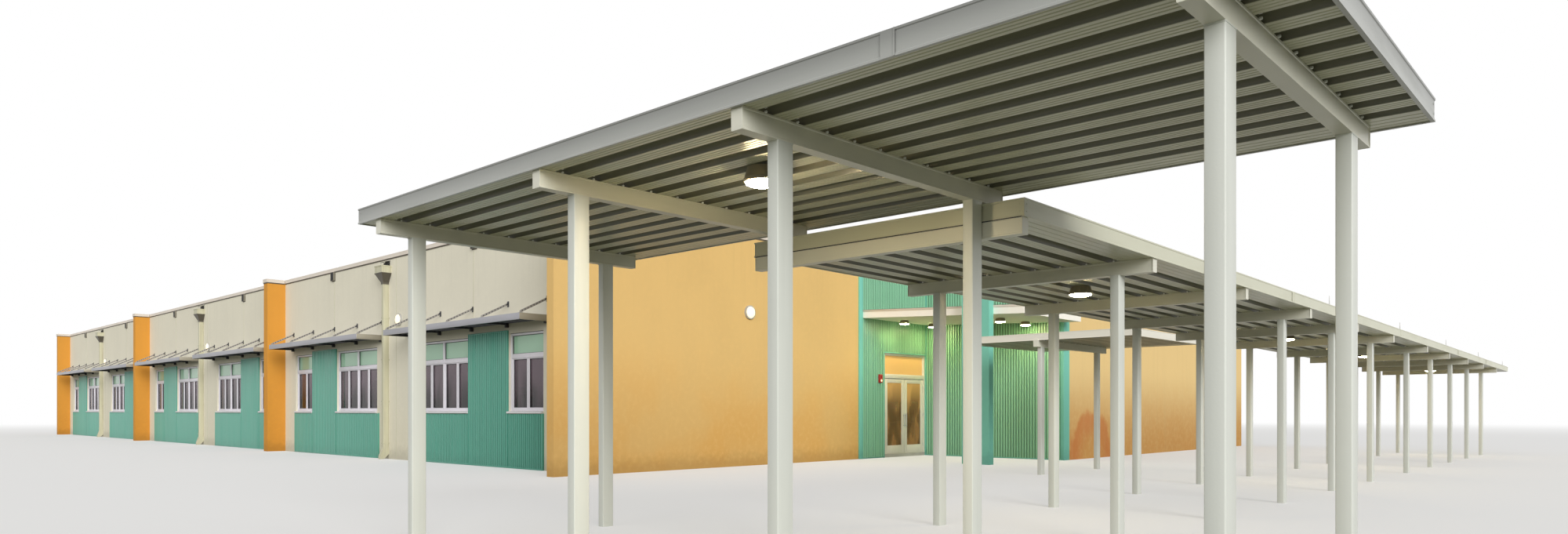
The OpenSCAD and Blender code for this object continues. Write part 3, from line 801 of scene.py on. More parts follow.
# %% Copies as a plain mesh
def repeat(shape, finish, count, step, rows=1, row_step=(0, 0, 0)):
    """Plain mesh with copies of a shape in even rows"""
    seed = bpy.data.objects.new("seed", as_mesh(shape))
    scene.collection.objects.link(seed)
    modifier = seed.modifiers.new("rows", "NODES")
    modifier.node_group = ROWS
    values = {"Count": count, "Step": [float(c) for c in step], "Rows": rows,
              "Row step": [float(c) for c in row_step], "Finish": finish}
    for item in ROWS.interface.items_tree:
        if item.name in values:
            modifier[item.identifier] = values[item.name]
    graph = bpy.context.evaluated_depsgraph_get()
    made = bpy.data.meshes.new_from_object(seed.evaluated_get(graph), depsgraph=graph)
    seed.modifiers.clear()
    bpy.data.objects.remove(seed)
    return made


# %% [markdown]
# A finished piece is taken to the model's half size, given its finish, and rides on
# a body of the construction. Thin sheets get their thickness and sharp bars a small
# bevel here, as modifiers that are applied at once, so that the object carries a
# plain mesh with its place in it.

# %% Finish a piece
def make_piece(name, shape, finish, replaces=(), body="building", edge=0.0, thick=0.0, smooth=30):
    """Object from a drawn shape, in the model's frame"""
    mesh = as_mesh(shape)
    mesh.transform(TO_MODEL)
    mesh.materials.clear()
    mesh.materials.append(finish)
    piece = bpy.data.objects.new(name, mesh)
    scene.collection.objects.link(piece)
    if thick:
        solidify = piece.modifiers.new("thickness", "SOLIDIFY")
        solidify.thickness = thick * SCALE
        solidify.offset = -1
    if edge:
        bevel = piece.modifiers.new("edges", "BEVEL")
        bevel.width = edge * SCALE
        bevel.segments = 2
        bevel.limit_method = "ANGLE"
        bevel.angle_limit = radians(40)
    if thick or edge:
        graph = bpy.context.evaluated_depsgraph_get()
        piece.data = bpy.data.meshes.new_from_object(piece.evaluated_get(graph), depsgraph=graph)
        piece.modifiers.clear()
    piece.data.name = name
    piece.data.shade_smooth()
    piece.data.set_sharp_from_angle(angle=radians(smooth))
    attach(piece, body)
    if replaces:
        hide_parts(*replaces)
    print(name, len(piece.data.polygons), "faces")
    return piece


# %% [markdown]
# The front is three equal bays, each a mirror image about its middle, and the rear
# repeats it. A piece of half a bay is therefore drawn once, measured from the
# middle of its bay, and stamped at twelve places.

# %% Places of the bays
BAYS = 3
BAY_PITCH = 17.19
NEAR_CENTRE = 9.68
DEPTH = span("rear_wall")[1].y
bay_centres = [-(NEAR_CENTRE + number * BAY_PITCH) for number in range(BAYS)]
FRONT = Matrix()
REAR = Matrix.Translation((0, DEPTH, 0)) @ Matrix.Scale(-1, 4, (0, 1, 0))
MIRROR = Matrix.Scale(-1, 4, (1, 0, 0))
bays = [side @ Matrix.Translation((x, 0, 0)) for side in (FRONT, REAR) for x in bay_centres]
half_bays = [bay @ hand for bay in bays for hand in (Matrix(), MIRROR)]
print(len(bays), "bays,", len(half_bays), "half bays")

# %% [markdown]
# The coping is a folded metal cap. Its outline has a small kick at the foot that
# throws drips clear of the wall, a flat face, and a top that slopes to both sides.
# Covers hide the butt joints between lengths, about every three metres. A cleat
# below the cap is painted dark, as the painted shadow under its drip, and shows as
# a thin line below the cap.

# %% Coping
SEAM_PITCH = 3.05
SEAM_COVER = 0.08
SEAM_PROUD = 0.003
CAP_KICK = 0.009
CAP_FOLD = 0.016
CLEAT_H = 0.034
CLEAT_IN = 0.012


def cap_outline(width, height, proud=0.0):
    """Half of the cap's section is written; the other half mirrors it"""
    half = width / 2 + proud
    face = -half + CAP_KICK
    near = [(-half, 0), (face, CAP_FOLD), (face, height - CAP_FOLD), (-half + CAP_FOLD, height - 0.004)]
    near = [(u, v + (proud if v > height / 2 else 0)) for u, v in near]
    return near + [(0, height + proud)] + [(-u, v) for u, v in reversed(near)]


caps = bmesh.new()
covers = bmesh.new()
cleats = bmesh.new()
for low, high in solids("coping"):
    size = high - low
    inside = [(low[i] + CLEAT_IN, high[i] - CLEAT_IN) for i in range(2)]
    block(cleats, *inside, (low.z - CLEAT_H, low.z))
    along, across = (0, 1) if size.x > size.y else (1, 0)
    axis = "xy"[along]
    middle = (low[across] + high[across]) / 2
    prism(caps, moved(cap_outline(size[across], size.z), middle, low.z), axis, (low[along], high[along]))
    count = int(size[along] / SEAM_PITCH)
    if count:
        gap = size[along] / (count + 1)
        first = low[along] + gap
        cover = bmesh.new()
        outline = moved(cap_outline(size[across], size.z, SEAM_PROUD), middle, low.z)
        prism(cover, outline, axis, about(first, SEAM_COVER))
        step = [gap if i == along else 0 for i in range(3)]
        stamp(covers, repeat(cover, coping_paint, count, step))
stamp(caps, as_mesh(covers))
make_piece("coping_caps", caps, coping_paint, ["coping"])
# The cleats are painted dark as the shadow under the cap's drip.
make_piece("coping_cleats", cleats, cleat_painted_shadow)

# %% [markdown]
# Thin lightning rods stand on the coping along both long sides, three to a bay. One
# rod is turned from a profile, and the tree that makes rows sets them all at once:
# the copies are the rods of one side, and the second row is the other side.

# %% Lightning rods
ROD_H = 0.17
RODS_A_BAY = 3
ROD_IN = 0.15
ROD_SHIFT = 1.25


def rod_shape():
    """Lightning rod on a round foot"""
    rod = bmesh.new()
    profile = [(0, 0), (0.035, 0), (0.035, 0.012), (0.008, 0.022), (0.005, ROD_H - 0.02), (0, ROD_H)]
    turned(rod, profile, Matrix(), 8)
    return rod


rod_step = BAY_PITCH / RODS_A_BAY
first_rod = (bay_centres[0] + ROD_SHIFT + rod_step, ROD_IN, span("coping")[1].z)
rods = repeat(rod_shape(), steel_paint, RODS_A_BAY * BAYS, (-rod_step, 0, 0), 2, (0, DEPTH - 2 * ROD_IN, 0))
rod_row = bmesh.new()
stamp(rod_row, rods, Matrix.Translation(first_rod))
make_piece("lightning_rods", rod_row, steel_paint)

# %% [markdown]
# The cladding is a ribbed sheet: flat crests, steep sides and narrow valleys, about
# twelve ribs to the metre. One rib is drawn as a folded strip, the tree repeats
# it over the panel's width, and the welded sheet then gets its thickness. Plain
# trims close the edges, as a fitter would do it.

# %% Ribbed cladding
RIB_PITCH = 0.087
CREST = -0.037
VALLEY = -0.013
RIB_LINE = ((0, VALLEY), (0.14, VALLEY), (0.24, CREST), (0.76, CREST), (0.86, VALLEY), (1, VALLEY))
SHEET_FOOT = 0.03
PANEL_LEFT, PANEL_RIGHT = 1.11, 7.63
WIDE_WINDOW = (1.26, 4.17)
NARROW_WINDOW = (6.08, 7.60)
SILL_Z = 1.34
SILL_TOP = 1.40
HEAD_Z = 3.30
PANEL_TOP = 3.38
TRIM = 0.022
FOOT_TRIM = 0.035


def ribbed_sheet(width, low, high, finish=teal_sheet):
    """Ribbed sheet from x = 0, facing the front"""
    ribs = round(width / RIB_PITCH)
    step = width / ribs
    rib = bmesh.new()
    marks = [1.0 if v == VALLEY else 0.0 for u, v in RIB_LINE]
    ribbon(rib, [(u * step, v) for u, v in RIB_LINE], "z", (low, high), (0, -1, 0), marks)
    return repeat(rib, finish, ribs, (step, 0, 0))


# %% Cladding of all bays
half_panel = bmesh.new()
for left, right, top in (
    (PANEL_LEFT, WIDE_WINDOW[1], SILL_Z),
    (WIDE_WINDOW[1], NARROW_WINDOW[0], PANEL_TOP),
    (NARROW_WINDOW[0], PANEL_RIGHT, SILL_Z),
):
    sheet = ribbed_sheet(right - left - 2 * TRIM, SHEET_FOOT, top - 0.01)
    stamp(half_panel, sheet, Matrix.Translation((left + TRIM, 0, 0)))
half_panel = as_mesh(half_panel)

half_trim = bmesh.new()
for x, top in ((PANEL_LEFT, SILL_Z), (PANEL_RIGHT - TRIM, SILL_Z),
               (WIDE_WINDOW[1], PANEL_TOP), (NARROW_WINDOW[0] - TRIM, PANEL_TOP)):
    block(half_trim, (x, x + TRIM), (-0.040, 0), (0, top))
level_trim = (-0.041, 0)
between = (WIDE_WINDOW[1] + TRIM, NARROW_WINDOW[0] - TRIM)
block(half_trim, between, level_trim, (PANEL_TOP - 0.03, PANEL_TOP))
block(half_trim, (PANEL_LEFT + TRIM, PANEL_RIGHT - TRIM), level_trim, (0, FOOT_TRIM))
half_trim = as_mesh(half_trim)

sheets = bmesh.new()
trims = bmesh.new()
for place in half_bays:
    stamp(sheets, half_panel, place)
    stamp(trims, half_trim, place)
make_piece("cladding_sheets", sheets, teal_sheet, ["corrugated_panels"], thick=0.003)
make_piece("cladding_trims", trims, teal_sheet, edge=0.003)

# %% [markdown]
# The same sheet lines the court: beside the doors and over them on the wall that
# faces out, and on the whole back wall. A smooth corner strip ends it at the
# outer corner and another one starts it beside the orange wall.

# %% Court cladding
COURT_TURN = Matrix.Rotation(pi / 2, 4, "Z")
SMOOTH_STRIP = 0.17
CORNER_STRIP = 0.11
COURT_TRIM = 0.042
court_low, court_high = span("court_panels")
door_low, door_high = span("entrance_frame")
court_top = court_high.z - 0.01
BACK_Y = court_high.y
court_sheets = bmesh.new()
court_trims = bmesh.new()

left = 0.045
right = court_high.x - CORNER_STRIP
sheet = ribbed_sheet(right - left, SHEET_FOOT, court_top)
stamp(court_sheets, sheet, Matrix.Translation((left, BACK_Y, 0)))
beside = (court_low.y + SMOOTH_STRIP, door_low.y - 0.02)
over = (door_low.y - 0.02, door_high.y)
over_doors = door_high.z + 0.03
for y, low in ((beside, SHEET_FOOT), (over, over_doors)):
    sheet = ribbed_sheet(y[1] - y[0], low, court_top)
    stamp(court_sheets, sheet, Matrix.Translation((0, y[0], 0)) @ COURT_TURN)
make_piece("court_sheets", court_sheets, lamplit_court_sheet, ["court_panels"], thick=0.003)

back_trim = (BACK_Y - COURT_TRIM, BACK_Y)
block(court_trims, (right, court_high.x + 0.003), back_trim, (0, court_top))
block(court_trims, (0.003, left), back_trim, (0, court_top))
block(court_trims, (left, right), back_trim, (0, FOOT_TRIM))
block(court_trims, (0, 0.040), (court_low.y, beside[0]), (0, court_top))
block(court_trims, (0, COURT_TRIM), (beside[1], door_low.y), (0, over_doors))
block(court_trims, (0, COURT_TRIM), (door_low.y, door_high.y), (door_high.z, over_doors))
make_piece("court_trims", court_trims, teal_wall, edge=0.004)

# %% [markdown]
# A window is an aluminium frame set back in the wall. The wide one has a mullion
# in its middle; each side has two narrow casements below and one fixed light over
# the transom. Each casement has its own frame, a few millimetres behind the outer
# one, and a dark gasket holds the pane. Those thin dark lines are what makes a
# window look like one from afar.

# %% Windows
FRAME_W = 0.06
REVEAL = 0.05
FRAME_D = 0.11
TRANSOM = 2.68
STILE_W = 0.052
RAIL_W = 0.022
SASH_BACK = 0.018
SASH_GAP = 0.012
FIXED_RAIL = 0.055
GASKET = 0.010
PANE_Y = span("window_glass")[0].y


def ring_of_bars(shape, x, y, z, width, rail=None):
    """Four bars round a rectangular opening; the level ones are as high as rail"""
    rail = rail or width
    block(shape, (x[0], x[0] + width), y, z)
    block(shape, (x[1] - width, x[1]), y, z)
    for low in (z[0], z[1] - rail):
        block(shape, (x[0] + width, x[1] - width), y, (low, low + rail))


def window(frames, gaskets, edges, sides):
    """One window; each side of its mullion has two casements and a fixed light"""
    face = (REVEAL, REVEAL + FRAME_D)
    sash_y = (REVEAL + SASH_BACK, face[1] - 0.02)
    gasket_y = (PANE_Y - 0.022, PANE_Y - 0.001)
    mullion_y = (REVEAL - 0.004, face[1])
    bar_top = TRANSOM + FRAME_W
    ring_of_bars(frames, edges, face, (SILL_TOP, HEAD_Z), FRAME_W)
    inner = (edges[0] + FRAME_W, edges[1] - FRAME_W)
    block(frames, inner, face, (TRANSOM, TRANSOM + FRAME_W))
    side_w = (inner[1] - inner[0] - (sides - 1) * FRAME_W) / sides
    for number in range(sides):
        left = inner[0] + number * (side_w + FRAME_W)
        if number:
            for z in ((SILL_TOP + FRAME_W, TRANSOM), (bar_top, HEAD_Z - FRAME_W)):
                block(frames, (left - FRAME_W, left), mullion_y, z)
        middle = left + side_w / 2
        z = (SILL_TOP + FRAME_W, TRANSOM)
        gap = about(middle, SASH_GAP)
        block(gaskets, gap, (REVEAL + SASH_BACK + 0.012, PANE_Y), z)
        for x in ((left, gap[0]), (gap[1], left + side_w)):
            ring_of_bars(frames, x, sash_y, z, STILE_W, RAIL_W)
            hole = ((x[0] + STILE_W, x[1] - STILE_W), (z[0] + RAIL_W, z[1] - RAIL_W))
            ring_of_bars(gaskets, hole[0], gasket_y, hole[1], GASKET)
        fixed = ((left, left + side_w), (bar_top + FIXED_RAIL, HEAD_Z - FRAME_W))
        block(frames, fixed[0], (REVEAL + 0.008, sash_y[1]), (bar_top, bar_top + FIXED_RAIL))
        ring_of_bars(gaskets, fixed[0], gasket_y, fixed[1], GASKET)
    # A dark strip along each window's head is painted shade, where the wall's head throws its shadow.
    shadow_line = (REVEAL - 0.003, REVEAL + 0.02)
    block(gaskets, edges, shadow_line, (HEAD_Z - 0.012, HEAD_Z))


# %% Windows and sills of all bays
half_frames = bmesh.new()
half_gaskets = bmesh.new()
window(half_frames, half_gaskets, WIDE_WINDOW, 2)
window(half_frames, half_gaskets, NARROW_WINDOW, 1)
half_sills = bmesh.new()
sill_back = REVEAL + FRAME_D
groove_z = SILL_Z + 0.010
sill_line = [(-0.070, SILL_Z + 0.004), (-0.062, SILL_Z), (-0.052, SILL_Z), (-0.052, groove_z),
             (-0.044, groove_z), (-0.044, SILL_Z), (sill_back, SILL_Z), (sill_back, SILL_TOP),
             (REVEAL, SILL_TOP), (-0.062, SILL_TOP - 0.012), (-0.070, SILL_TOP - 0.018)]
for edges in (WIDE_WINDOW, NARROW_WINDOW):
    prism(half_sills, sill_line, "x", edges)
half_frames, half_gaskets, half_sills = [as_mesh(s) for s in (half_frames, half_gaskets, half_sills)]

frames, gaskets, sills = bmesh.new(), bmesh.new(), bmesh.new()
for place in half_bays:
    stamp(frames, half_frames, place)
    stamp(gaskets, half_gaskets, place)
    stamp(sills, half_sills, place)
make_piece("window_bars", frames, window_paint, ["window_frames"], edge=0.003)
make_piece("window_gaskets", gaskets, dark_paint)
make_piece("sill_ledges", sills, sill_paint, ["window_sills"])

# %% [markdown]
# Over each pair of windows hangs a light metal shade. A folded channel forms its
# front and both ends, a ribbed top sheet spans between them, and rectangular
# outriggers carry it at each strut. A second sheet lines it from below, and both it
# and the outriggers are painted near black, as painted shade under the shade. The
# outriggers and the ribs give that underside its rhythm.

# %% Sunshades
SHADE_X = (0.870, 7.830)
SHADE_OUT = 0.78
SHADE_TOP = 3.64
SHADE_H = 0.15
STRUTS = 5
STRUT_INSET = 0.06
LIP = 0.05
SKIN = 0.005
SHEET_DROP = 0.008
SOFFIT_DROP = 0.08
OUTRIGGER_W = 0.04
OUTRIGGER_Z = (SHADE_TOP - 0.135, SHADE_TOP - 0.025)
TOP_RIBS = 6
first_strut = SHADE_X[0] + STRUT_INSET
strut_step = (SHADE_X[1] - SHADE_X[0] - 2 * STRUT_INSET) / (STRUTS - 1)
shade_low = SHADE_TOP - SHADE_H
shade_inside = shortened(SHADE_X, SKIN)


def channel(face, inward, low, high):
    """Section of a folded channel with its web at face, its lips turned inward"""
    web = face + inward * SKIN
    lip = face + inward * LIP
    return [(face, low), (lip, low), (lip, low + SKIN), (web, low + SKIN),
            (web, high - SKIN), (lip, high - SKIN), (lip, high), (face, high)]


def shade_sheet(drop, finish, facing):
    """Ribbed sheet inside the channels, a drop below their top"""
    depth = (SHADE_OUT - SKIN) / TOP_RIBS
    line = [(0, 0), (0.60, 0), (0.66, -0.016), (0.94, -0.016), (1, 0)]
    rib = bmesh.new()
    ribbon(rib, [(u * depth - SHADE_OUT + SKIN, SHADE_TOP - drop + v) for u, v in line], "x",
           shade_inside, (0, 0, facing))
    return repeat(rib, finish, TOP_RIBS, (0, depth, 0))


# %% Sunshades of all bays
half_shade, half_ends, outrigger = bmesh.new(), bmesh.new(), bmesh.new()
end_y = (-SHADE_OUT + SKIN, 0)
prism(half_shade, channel(-SHADE_OUT, 1, shade_low, SHADE_TOP), "x", SHADE_X)
prism(half_ends, channel(SHADE_X[0], 1, shade_low, SHADE_TOP), "y", end_y)
prism(half_ends, channel(SHADE_X[1], -1, shade_low, SHADE_TOP), "y", end_y)
block(outrigger, about(first_strut, OUTRIGGER_W), end_y, OUTRIGGER_Z)
parts = [as_mesh(half_shade), as_mesh(half_ends),
         shade_sheet(SHEET_DROP, shade_paint, 1), shade_sheet(SOFFIT_DROP, soffit_painted_shade, -1),
         repeat(outrigger, soffit_painted_shade, STRUTS, (strut_step, 0, 0))]
shades, shade_ends, shade_tops, soffits, outriggers = [bmesh.new() for part in parts]
for place in half_bays:
    for shape, part in zip((shades, shade_ends, shade_tops, soffits, outriggers), parts):
        stamp(shape, part, place)
make_piece("shade_channels", shades, shade_paint, ["sunshades"], edge=0.002)
# The end channels take the darker coat: painted shade.
make_piece("shade_end_channels", shade_ends, sunshade_end_painted_shade, edge=0.002)
make_piece("shade_top_sheets", shade_tops, shade_paint, thick=0.003)
make_piece("shade_soffits", soffits, soffit_painted_shade, thick=0.002)
make_piece("shade_outriggers", outriggers, soffit_painted_shade)

# %% [markdown]
# Sloping struts hold the shades back to the wall. They are slotted steel bars with
# a closed core, which is painted near black as painted shade inside the slots, so a
# row of dark dots shows along each one. One cell of the bar, a plate with an
# eight-sided hole, is drawn and repeated nine times. Its open ends are capped, the
# core closes the holes half way in, and the bar is tipped to its slope between a
# foot on the shade and a dark plate on the wall.

# %% Struts
CELLS = 9
BAR_T = 0.020
BAR_H = 0.052
HOLE_R = 0.017
STRUT_FOOT = (-SHADE_OUT + 0.07, SHADE_TOP + 0.035)
STRUT_HEAD = (-0.02, 4.02)
strut_run = STRUT_HEAD[0] - STRUT_FOOT[0]
strut_rise = STRUT_HEAD[1] - STRUT_FOOT[1]
strut_length = hypot(strut_run, strut_rise)
cell_w = strut_length / CELLS


def holed_cell():
    """One plate of the bar, with an eight-sided hole through it"""
    shape = bmesh.new()
    square = ((1, 0), (1, 1), (0, 1), (-1, 1), (-1, 0), (-1, -1), (0, -1), (1, -1))
    sides = []
    for y in (-BAR_T / 2, BAR_T / 2):
        outer = [shape.verts.new((a * cell_w / 2, y, b * BAR_H / 2)) for a, b in square]
        angles = [k * pi / 4 for k in range(8)]
        inner = [shape.verts.new((HOLE_R * cos(a), y, HOLE_R * sin(a))) for a in angles]
        sides.append((outer, inner))
        for k in range(8):
            shape.faces.new((outer[k - 1], outer[k], inner[k], inner[k - 1]))
    (front_out, front_in), (back_out, back_in) = sides
    for k in range(8):
        shape.faces.new((front_in[k - 1], front_in[k], back_in[k], back_in[k - 1]))
    for k in (2, 3, 6, 7):
        shape.faces.new((front_out[k - 1], front_out[k], back_out[k], back_out[k - 1]))
    return shape


# %% Struts of all bays
CORE_IN = 0.006
PLATE_HALF = 0.07
bar = bmesh.new()
stamp(bar, repeat(holed_cell(), dark_paint, CELLS, (cell_w, 0, 0)))
bmesh.ops.holes_fill(bar, edges=[e for e in bar.edges if e.is_boundary], sides=0)
bmesh.ops.recalc_face_normals(bar, faces=bar.faces)
slope = atan2(strut_rise, strut_run)
tip = Matrix.Translation((0, *STRUT_FOOT)) @ Matrix.Rotation(slope, 4, "X") @ Matrix.Rotation(pi / 2, 4, "Z")
bmesh.ops.transform(bar, matrix=tip @ Matrix.Translation((cell_w / 2, 0, 0)), verts=bar.verts)
# The core is painted dark: painted shade inside the slots.
core = bmesh.new()
core_z = BAR_H / 2 - CORE_IN
block(core, (0.01, strut_length - 0.01), about(0, BAR_T / 2), (-core_z, core_z))
bmesh.ops.transform(core, matrix=tip, verts=core.verts)
foot_y, head_z = STRUT_FOOT[0], STRUT_HEAD[1]
block(core, (-0.035, 0.035), (-0.012, 0), (head_z - PLATE_HALF, head_z + PLATE_HALF))
block(core, (-0.016, 0.016), (-0.045, -0.012), (head_z - 0.025, head_z + 0.025))
block(bar, (-0.020, 0.020), (foot_y - 0.04, foot_y + 0.05), (SHADE_TOP, SHADE_TOP + 0.012))
block(bar, (-0.014, 0.014), (foot_y - 0.02, foot_y + 0.03), (SHADE_TOP + 0.012, SHADE_TOP + 0.05))
block(core, (-0.030, 0.030), (-0.085, 0), (shade_low - 0.045, shade_low + 0.03))
bar, core = as_mesh(bar), as_mesh(core)
struts, cores = bmesh.new(), bmesh.new()
for place in half_bays:
    for number in range(STRUTS):
        at = place @ Matrix.Translation((first_strut + number * strut_step, 0, 0))
        stamp(struts, bar, at)
        stamp(cores, core, at)
make_piece("shade_struts", struts, strut_paint, ["sunshade_struts"], smooth=20)
make_piece("shade_strut_brackets", cores, dark_paint)

# %% [markdown]
# Each bay has a rainwater pipe of folded metal. Lengths slip into each other at
# collars, straps hold them to the wall, and the foot kicks forward. At the top the
# pipe hangs from a conductor head: a box with a rolled lip over a funnel, below a
# small hooded opening in the parapet. The funnel faces down and is painted dark
# grey-brown, as painted shade.

# %% Downpipes
PIPE_X = -0.55
PIPE_W = 0.13
PIPE_D = 0.16
HEAD_W = 0.47
HEAD_D = 0.285
FUNNEL_Z = 5.13
BOX_Z = 5.41
BOX_TOP = 5.63
COLLARS = 4
COLLAR_STEP = 1.22
COLLAR_Z = (0.36, 0.40)
STRAP_Z = (0.44, 0.475)
STRAP_T = 0.009
EAR_Z = (0.438, 0.477)
EAR_W = 0.05
FOOT_Z = 0.34

pipe = bmesh.new()
prism(pipe, moved(rounded(PIPE_W, PIPE_D, 0.014), 0, -PIPE_D / 2), "z", (FOOT_Z, FUNNEL_Z + 0.01))
foot_line = [(-0.25, 0.0), (-0.25, 0.09), (-PIPE_D, FOOT_Z), (0, FOOT_Z), (0, 0.14), (-0.14, 0.0)]
prism(pipe, foot_line, "x", about(0, PIPE_W))
collar = bmesh.new()
sleeve = rounded(PIPE_W + 0.008, PIPE_D + 0.004, 0.016)
prism(collar, moved(sleeve, 0, -PIPE_D / 2 - 0.002), "z", COLLAR_Z)
block(collar, shortened(about(0, PIPE_W), -STRAP_T), (-PIPE_D - 0.008, 0), STRAP_Z)
block(collar, shortened(about(0, PIPE_W), -EAR_W), (-0.006, 0), EAR_Z)
stamp(pipe, repeat(collar, pipe_paint, COLLARS, (0, 0, COLLAR_STEP)))

# %% Conductor heads
HEAD_LIP = 0.012
HEAD_RIM = 0.03
HEAD_WALL = 0.02


def level_at(width, depth, grow, z, back=0):
    """Level rectangle of the pipe or its head, grown on the three free sides"""
    return (-width / 2 - grow, width / 2 + grow, -depth - grow, back, z)


loft(pipe, [
    level_at(HEAD_W, HEAD_D, 0, BOX_Z), level_at(HEAD_W, HEAD_D, 0, BOX_TOP - HEAD_RIM),
    level_at(HEAD_W, HEAD_D, HEAD_LIP, BOX_TOP - HEAD_RIM), level_at(HEAD_W, HEAD_D, HEAD_LIP, BOX_TOP),
    level_at(HEAD_W, HEAD_D, -HEAD_WALL, BOX_TOP, -HEAD_WALL),
    level_at(HEAD_W, HEAD_D, -HEAD_WALL, BOX_TOP - 0.12, -HEAD_WALL),
])
funnel = bmesh.new()
loft(funnel, [
    level_at(PIPE_W, PIPE_D, HEAD_LIP, FUNNEL_Z - 0.03), level_at(PIPE_W, PIPE_D, HEAD_LIP, FUNNEL_Z + 0.02),
    level_at(HEAD_W, HEAD_D, -0.004, BOX_Z - 0.012), level_at(HEAD_W, HEAD_D, 0.006, BOX_Z - 0.012),
    level_at(HEAD_W, HEAD_D, 0.006, BOX_Z + 0.012),
])
pipe, funnel = as_mesh(pipe), as_mesh(funnel)
pipes, funnels = bmesh.new(), bmesh.new()
for place in bays:
    at = place @ Matrix.Translation((PIPE_X, 0, 0))
    stamp(pipes, pipe, at)
    stamp(funnels, funnel, at)
make_piece("rainwater_pipes", pipes, pipe_paint, ["downpipes"])
make_piece("head_funnels", funnels, funnel_painted_shade)

# %% [markdown]
# Overflow scuppers are short spouts through the parapet. A throat is set in a
# folded trim and painted near black, as painted shade in the opening. A dark band
# on the wall round its sides and foot is the spout's painted shadow. A smaller
# one with a hood sits over each conductor head, painted dark in the same way.

# %% Scuppers
SCUPPER_X = 4.43
SCUPPER_W = 0.23
SCUPPER_OUT = 0.06
SCUPPER_SKIN = 0.006
SHADOW_SIDE = 0.014
SHADOW_FOOT = 0.018
HOOD_W = 0.32
SCUPPER_Z = (5.57, 5.84)
throats, scupper_trims = bmesh.new(), bmesh.new()
throat, trim = bmesh.new(), bmesh.new()
x = about(SCUPPER_X, SCUPPER_W)
# The throat is painted near black: painted shade in the opening.
block(throat, shortened(x, SCUPPER_SKIN), (-SCUPPER_OUT + 0.002, 0), shortened(SCUPPER_Z, SCUPPER_SKIN))
ring_of_bars(trim, x, (-SCUPPER_OUT, 0), SCUPPER_Z, SCUPPER_SKIN)
# This dark band round the sides and foot is the spout's painted shadow on the wall.
block(throat, shortened(x, -SHADOW_SIDE), (-0.004, 0), (SCUPPER_Z[0] - SHADOW_FOOT, SCUPPER_Z[1]))
throat, trim = as_mesh(throat), as_mesh(trim)
for place in half_bays:
    stamp(throats, throat, place)
    stamp(scupper_trims, trim, place)
hooded = bmesh.new()
block(hooded, about(PIPE_X, 0.28), (-0.06, 0), (BOX_TOP + 0.02, BOX_TOP + 0.11))
hood_line = moved([(-0.15, 0.105), (0, 0.15), (0, 0.162), (-0.155, 0.115)], 0, BOX_TOP)
prism(hooded, hood_line, "x", about(PIPE_X, HOOD_W))
hooded = as_mesh(hooded)
for place in bays:
    stamp(throats, hooded, place)
make_piece("scupper_throats", throats, throat_painted_shade, ["overflow_scuppers"])
make_piece("scupper_trims", scupper_trims, scupper_paint, edge=0.002)

# %% [markdown]
# Wall joints break the stucco into panels so that it cracks where it should. Each
# one is a thin metal bead, a narrow raised strip from the coping down. One stands
# beside each rainwater pipe and one over each panel of cladding.

# %% Wall joints
BEAD_W = 0.014
BEAD_OUT = 0.004
BEAD_X = 4.38
over_shade = (SHADE_TOP + 0.02, SCUPPER_Z[0] - 0.02)
beads, bay_beads = bmesh.new(), bmesh.new()
for x, z in ((0, (0, WALL_TOP)), (-BEAD_X, over_shade), (BEAD_X, over_shade)):
    block(bay_beads, about(x, BEAD_W), (-BEAD_OUT, 0), z)
bay_beads = as_mesh(bay_beads)
for place in bays:
    stamp(beads, bay_beads, place)
make_piece("wall_joint_beads", beads, pipe_paint)

# %% [markdown]
# Round bulkhead lamps sit on the walls: a metal ring around a domed white lens. The
# lamps under the roofs are drums that widen downward, with a wide lens that glows.
# Both are turned from a short profile. Their places come from the construction.

# %% Lamps
RING = ((0, 0), (1, 0), (1, 0.3), (0.97, 0.55), (0.84, 0.60), (0.82, 0.45), (0, 0.45))
DOME = ((0, 0.46), (0.82, 0.46), (0.76, 0.72), (0.55, 0.90), (0.28, 0.98), (0, 1))
HOUSING = ((0, 1), (0.80, 1), (0.82, 0.90), (0.95, 0.42), (1, 0.38), (1, 0.26), (0.93, 0.22), (0, 0.24))
DRUM_LENS = ((0, 0.25), (0.92, 0.25), (0.86, 0.13), (0.62, 0.04), (0.3, 0.005), (0, 0))


def bulkhead(rings, lenses, place, radius, depth):
    """Wall lamp turned about the wall's normal"""
    turned(rings, scaled(RING, radius, depth), place, 40)
    turned(lenses, scaled(DOME, radius, depth), place, 40)


def drum(housings, lenses, low, high):
    """Hanging lamp in the box between two corners"""
    middle = (low + high) / 2
    radius = (high.x - low.x) / 2
    height = high.z - low.z
    place = Matrix.Translation((middle.x, middle.y, low.z))
    turned(housings, scaled(HOUSING, radius, height), place, 32)
    turned(lenses, scaled(DRUM_LENS, radius, height), place, 32)


# %% Lamps in their places
rings, wall_lenses = bmesh.new(), bmesh.new()
for low, high in solids("wall_lights"):
    size = high - low
    middle = (low + high) / 2
    if size.x < size.y:
        foot, turn = (low.x, middle.y, middle.z), Matrix.Rotation(pi / 2, 4, "Y")
    elif middle.y < DEPTH / 2:
        foot, turn = (middle.x, high.y, middle.z), Matrix.Rotation(pi / 2, 4, "X")
    else:
        foot, turn = (middle.x, low.y, middle.z), Matrix.Rotation(-pi / 2, 4, "X")
    bulkhead(rings, wall_lenses, Matrix.Translation(foot) @ turn, size.z / 2, min(size.x, size.y))
make_piece("wall_lamp_rings", rings, bezel_paint, ["wall_lights"])
make_piece("wall_lamp_lenses", wall_lenses, wall_lens)

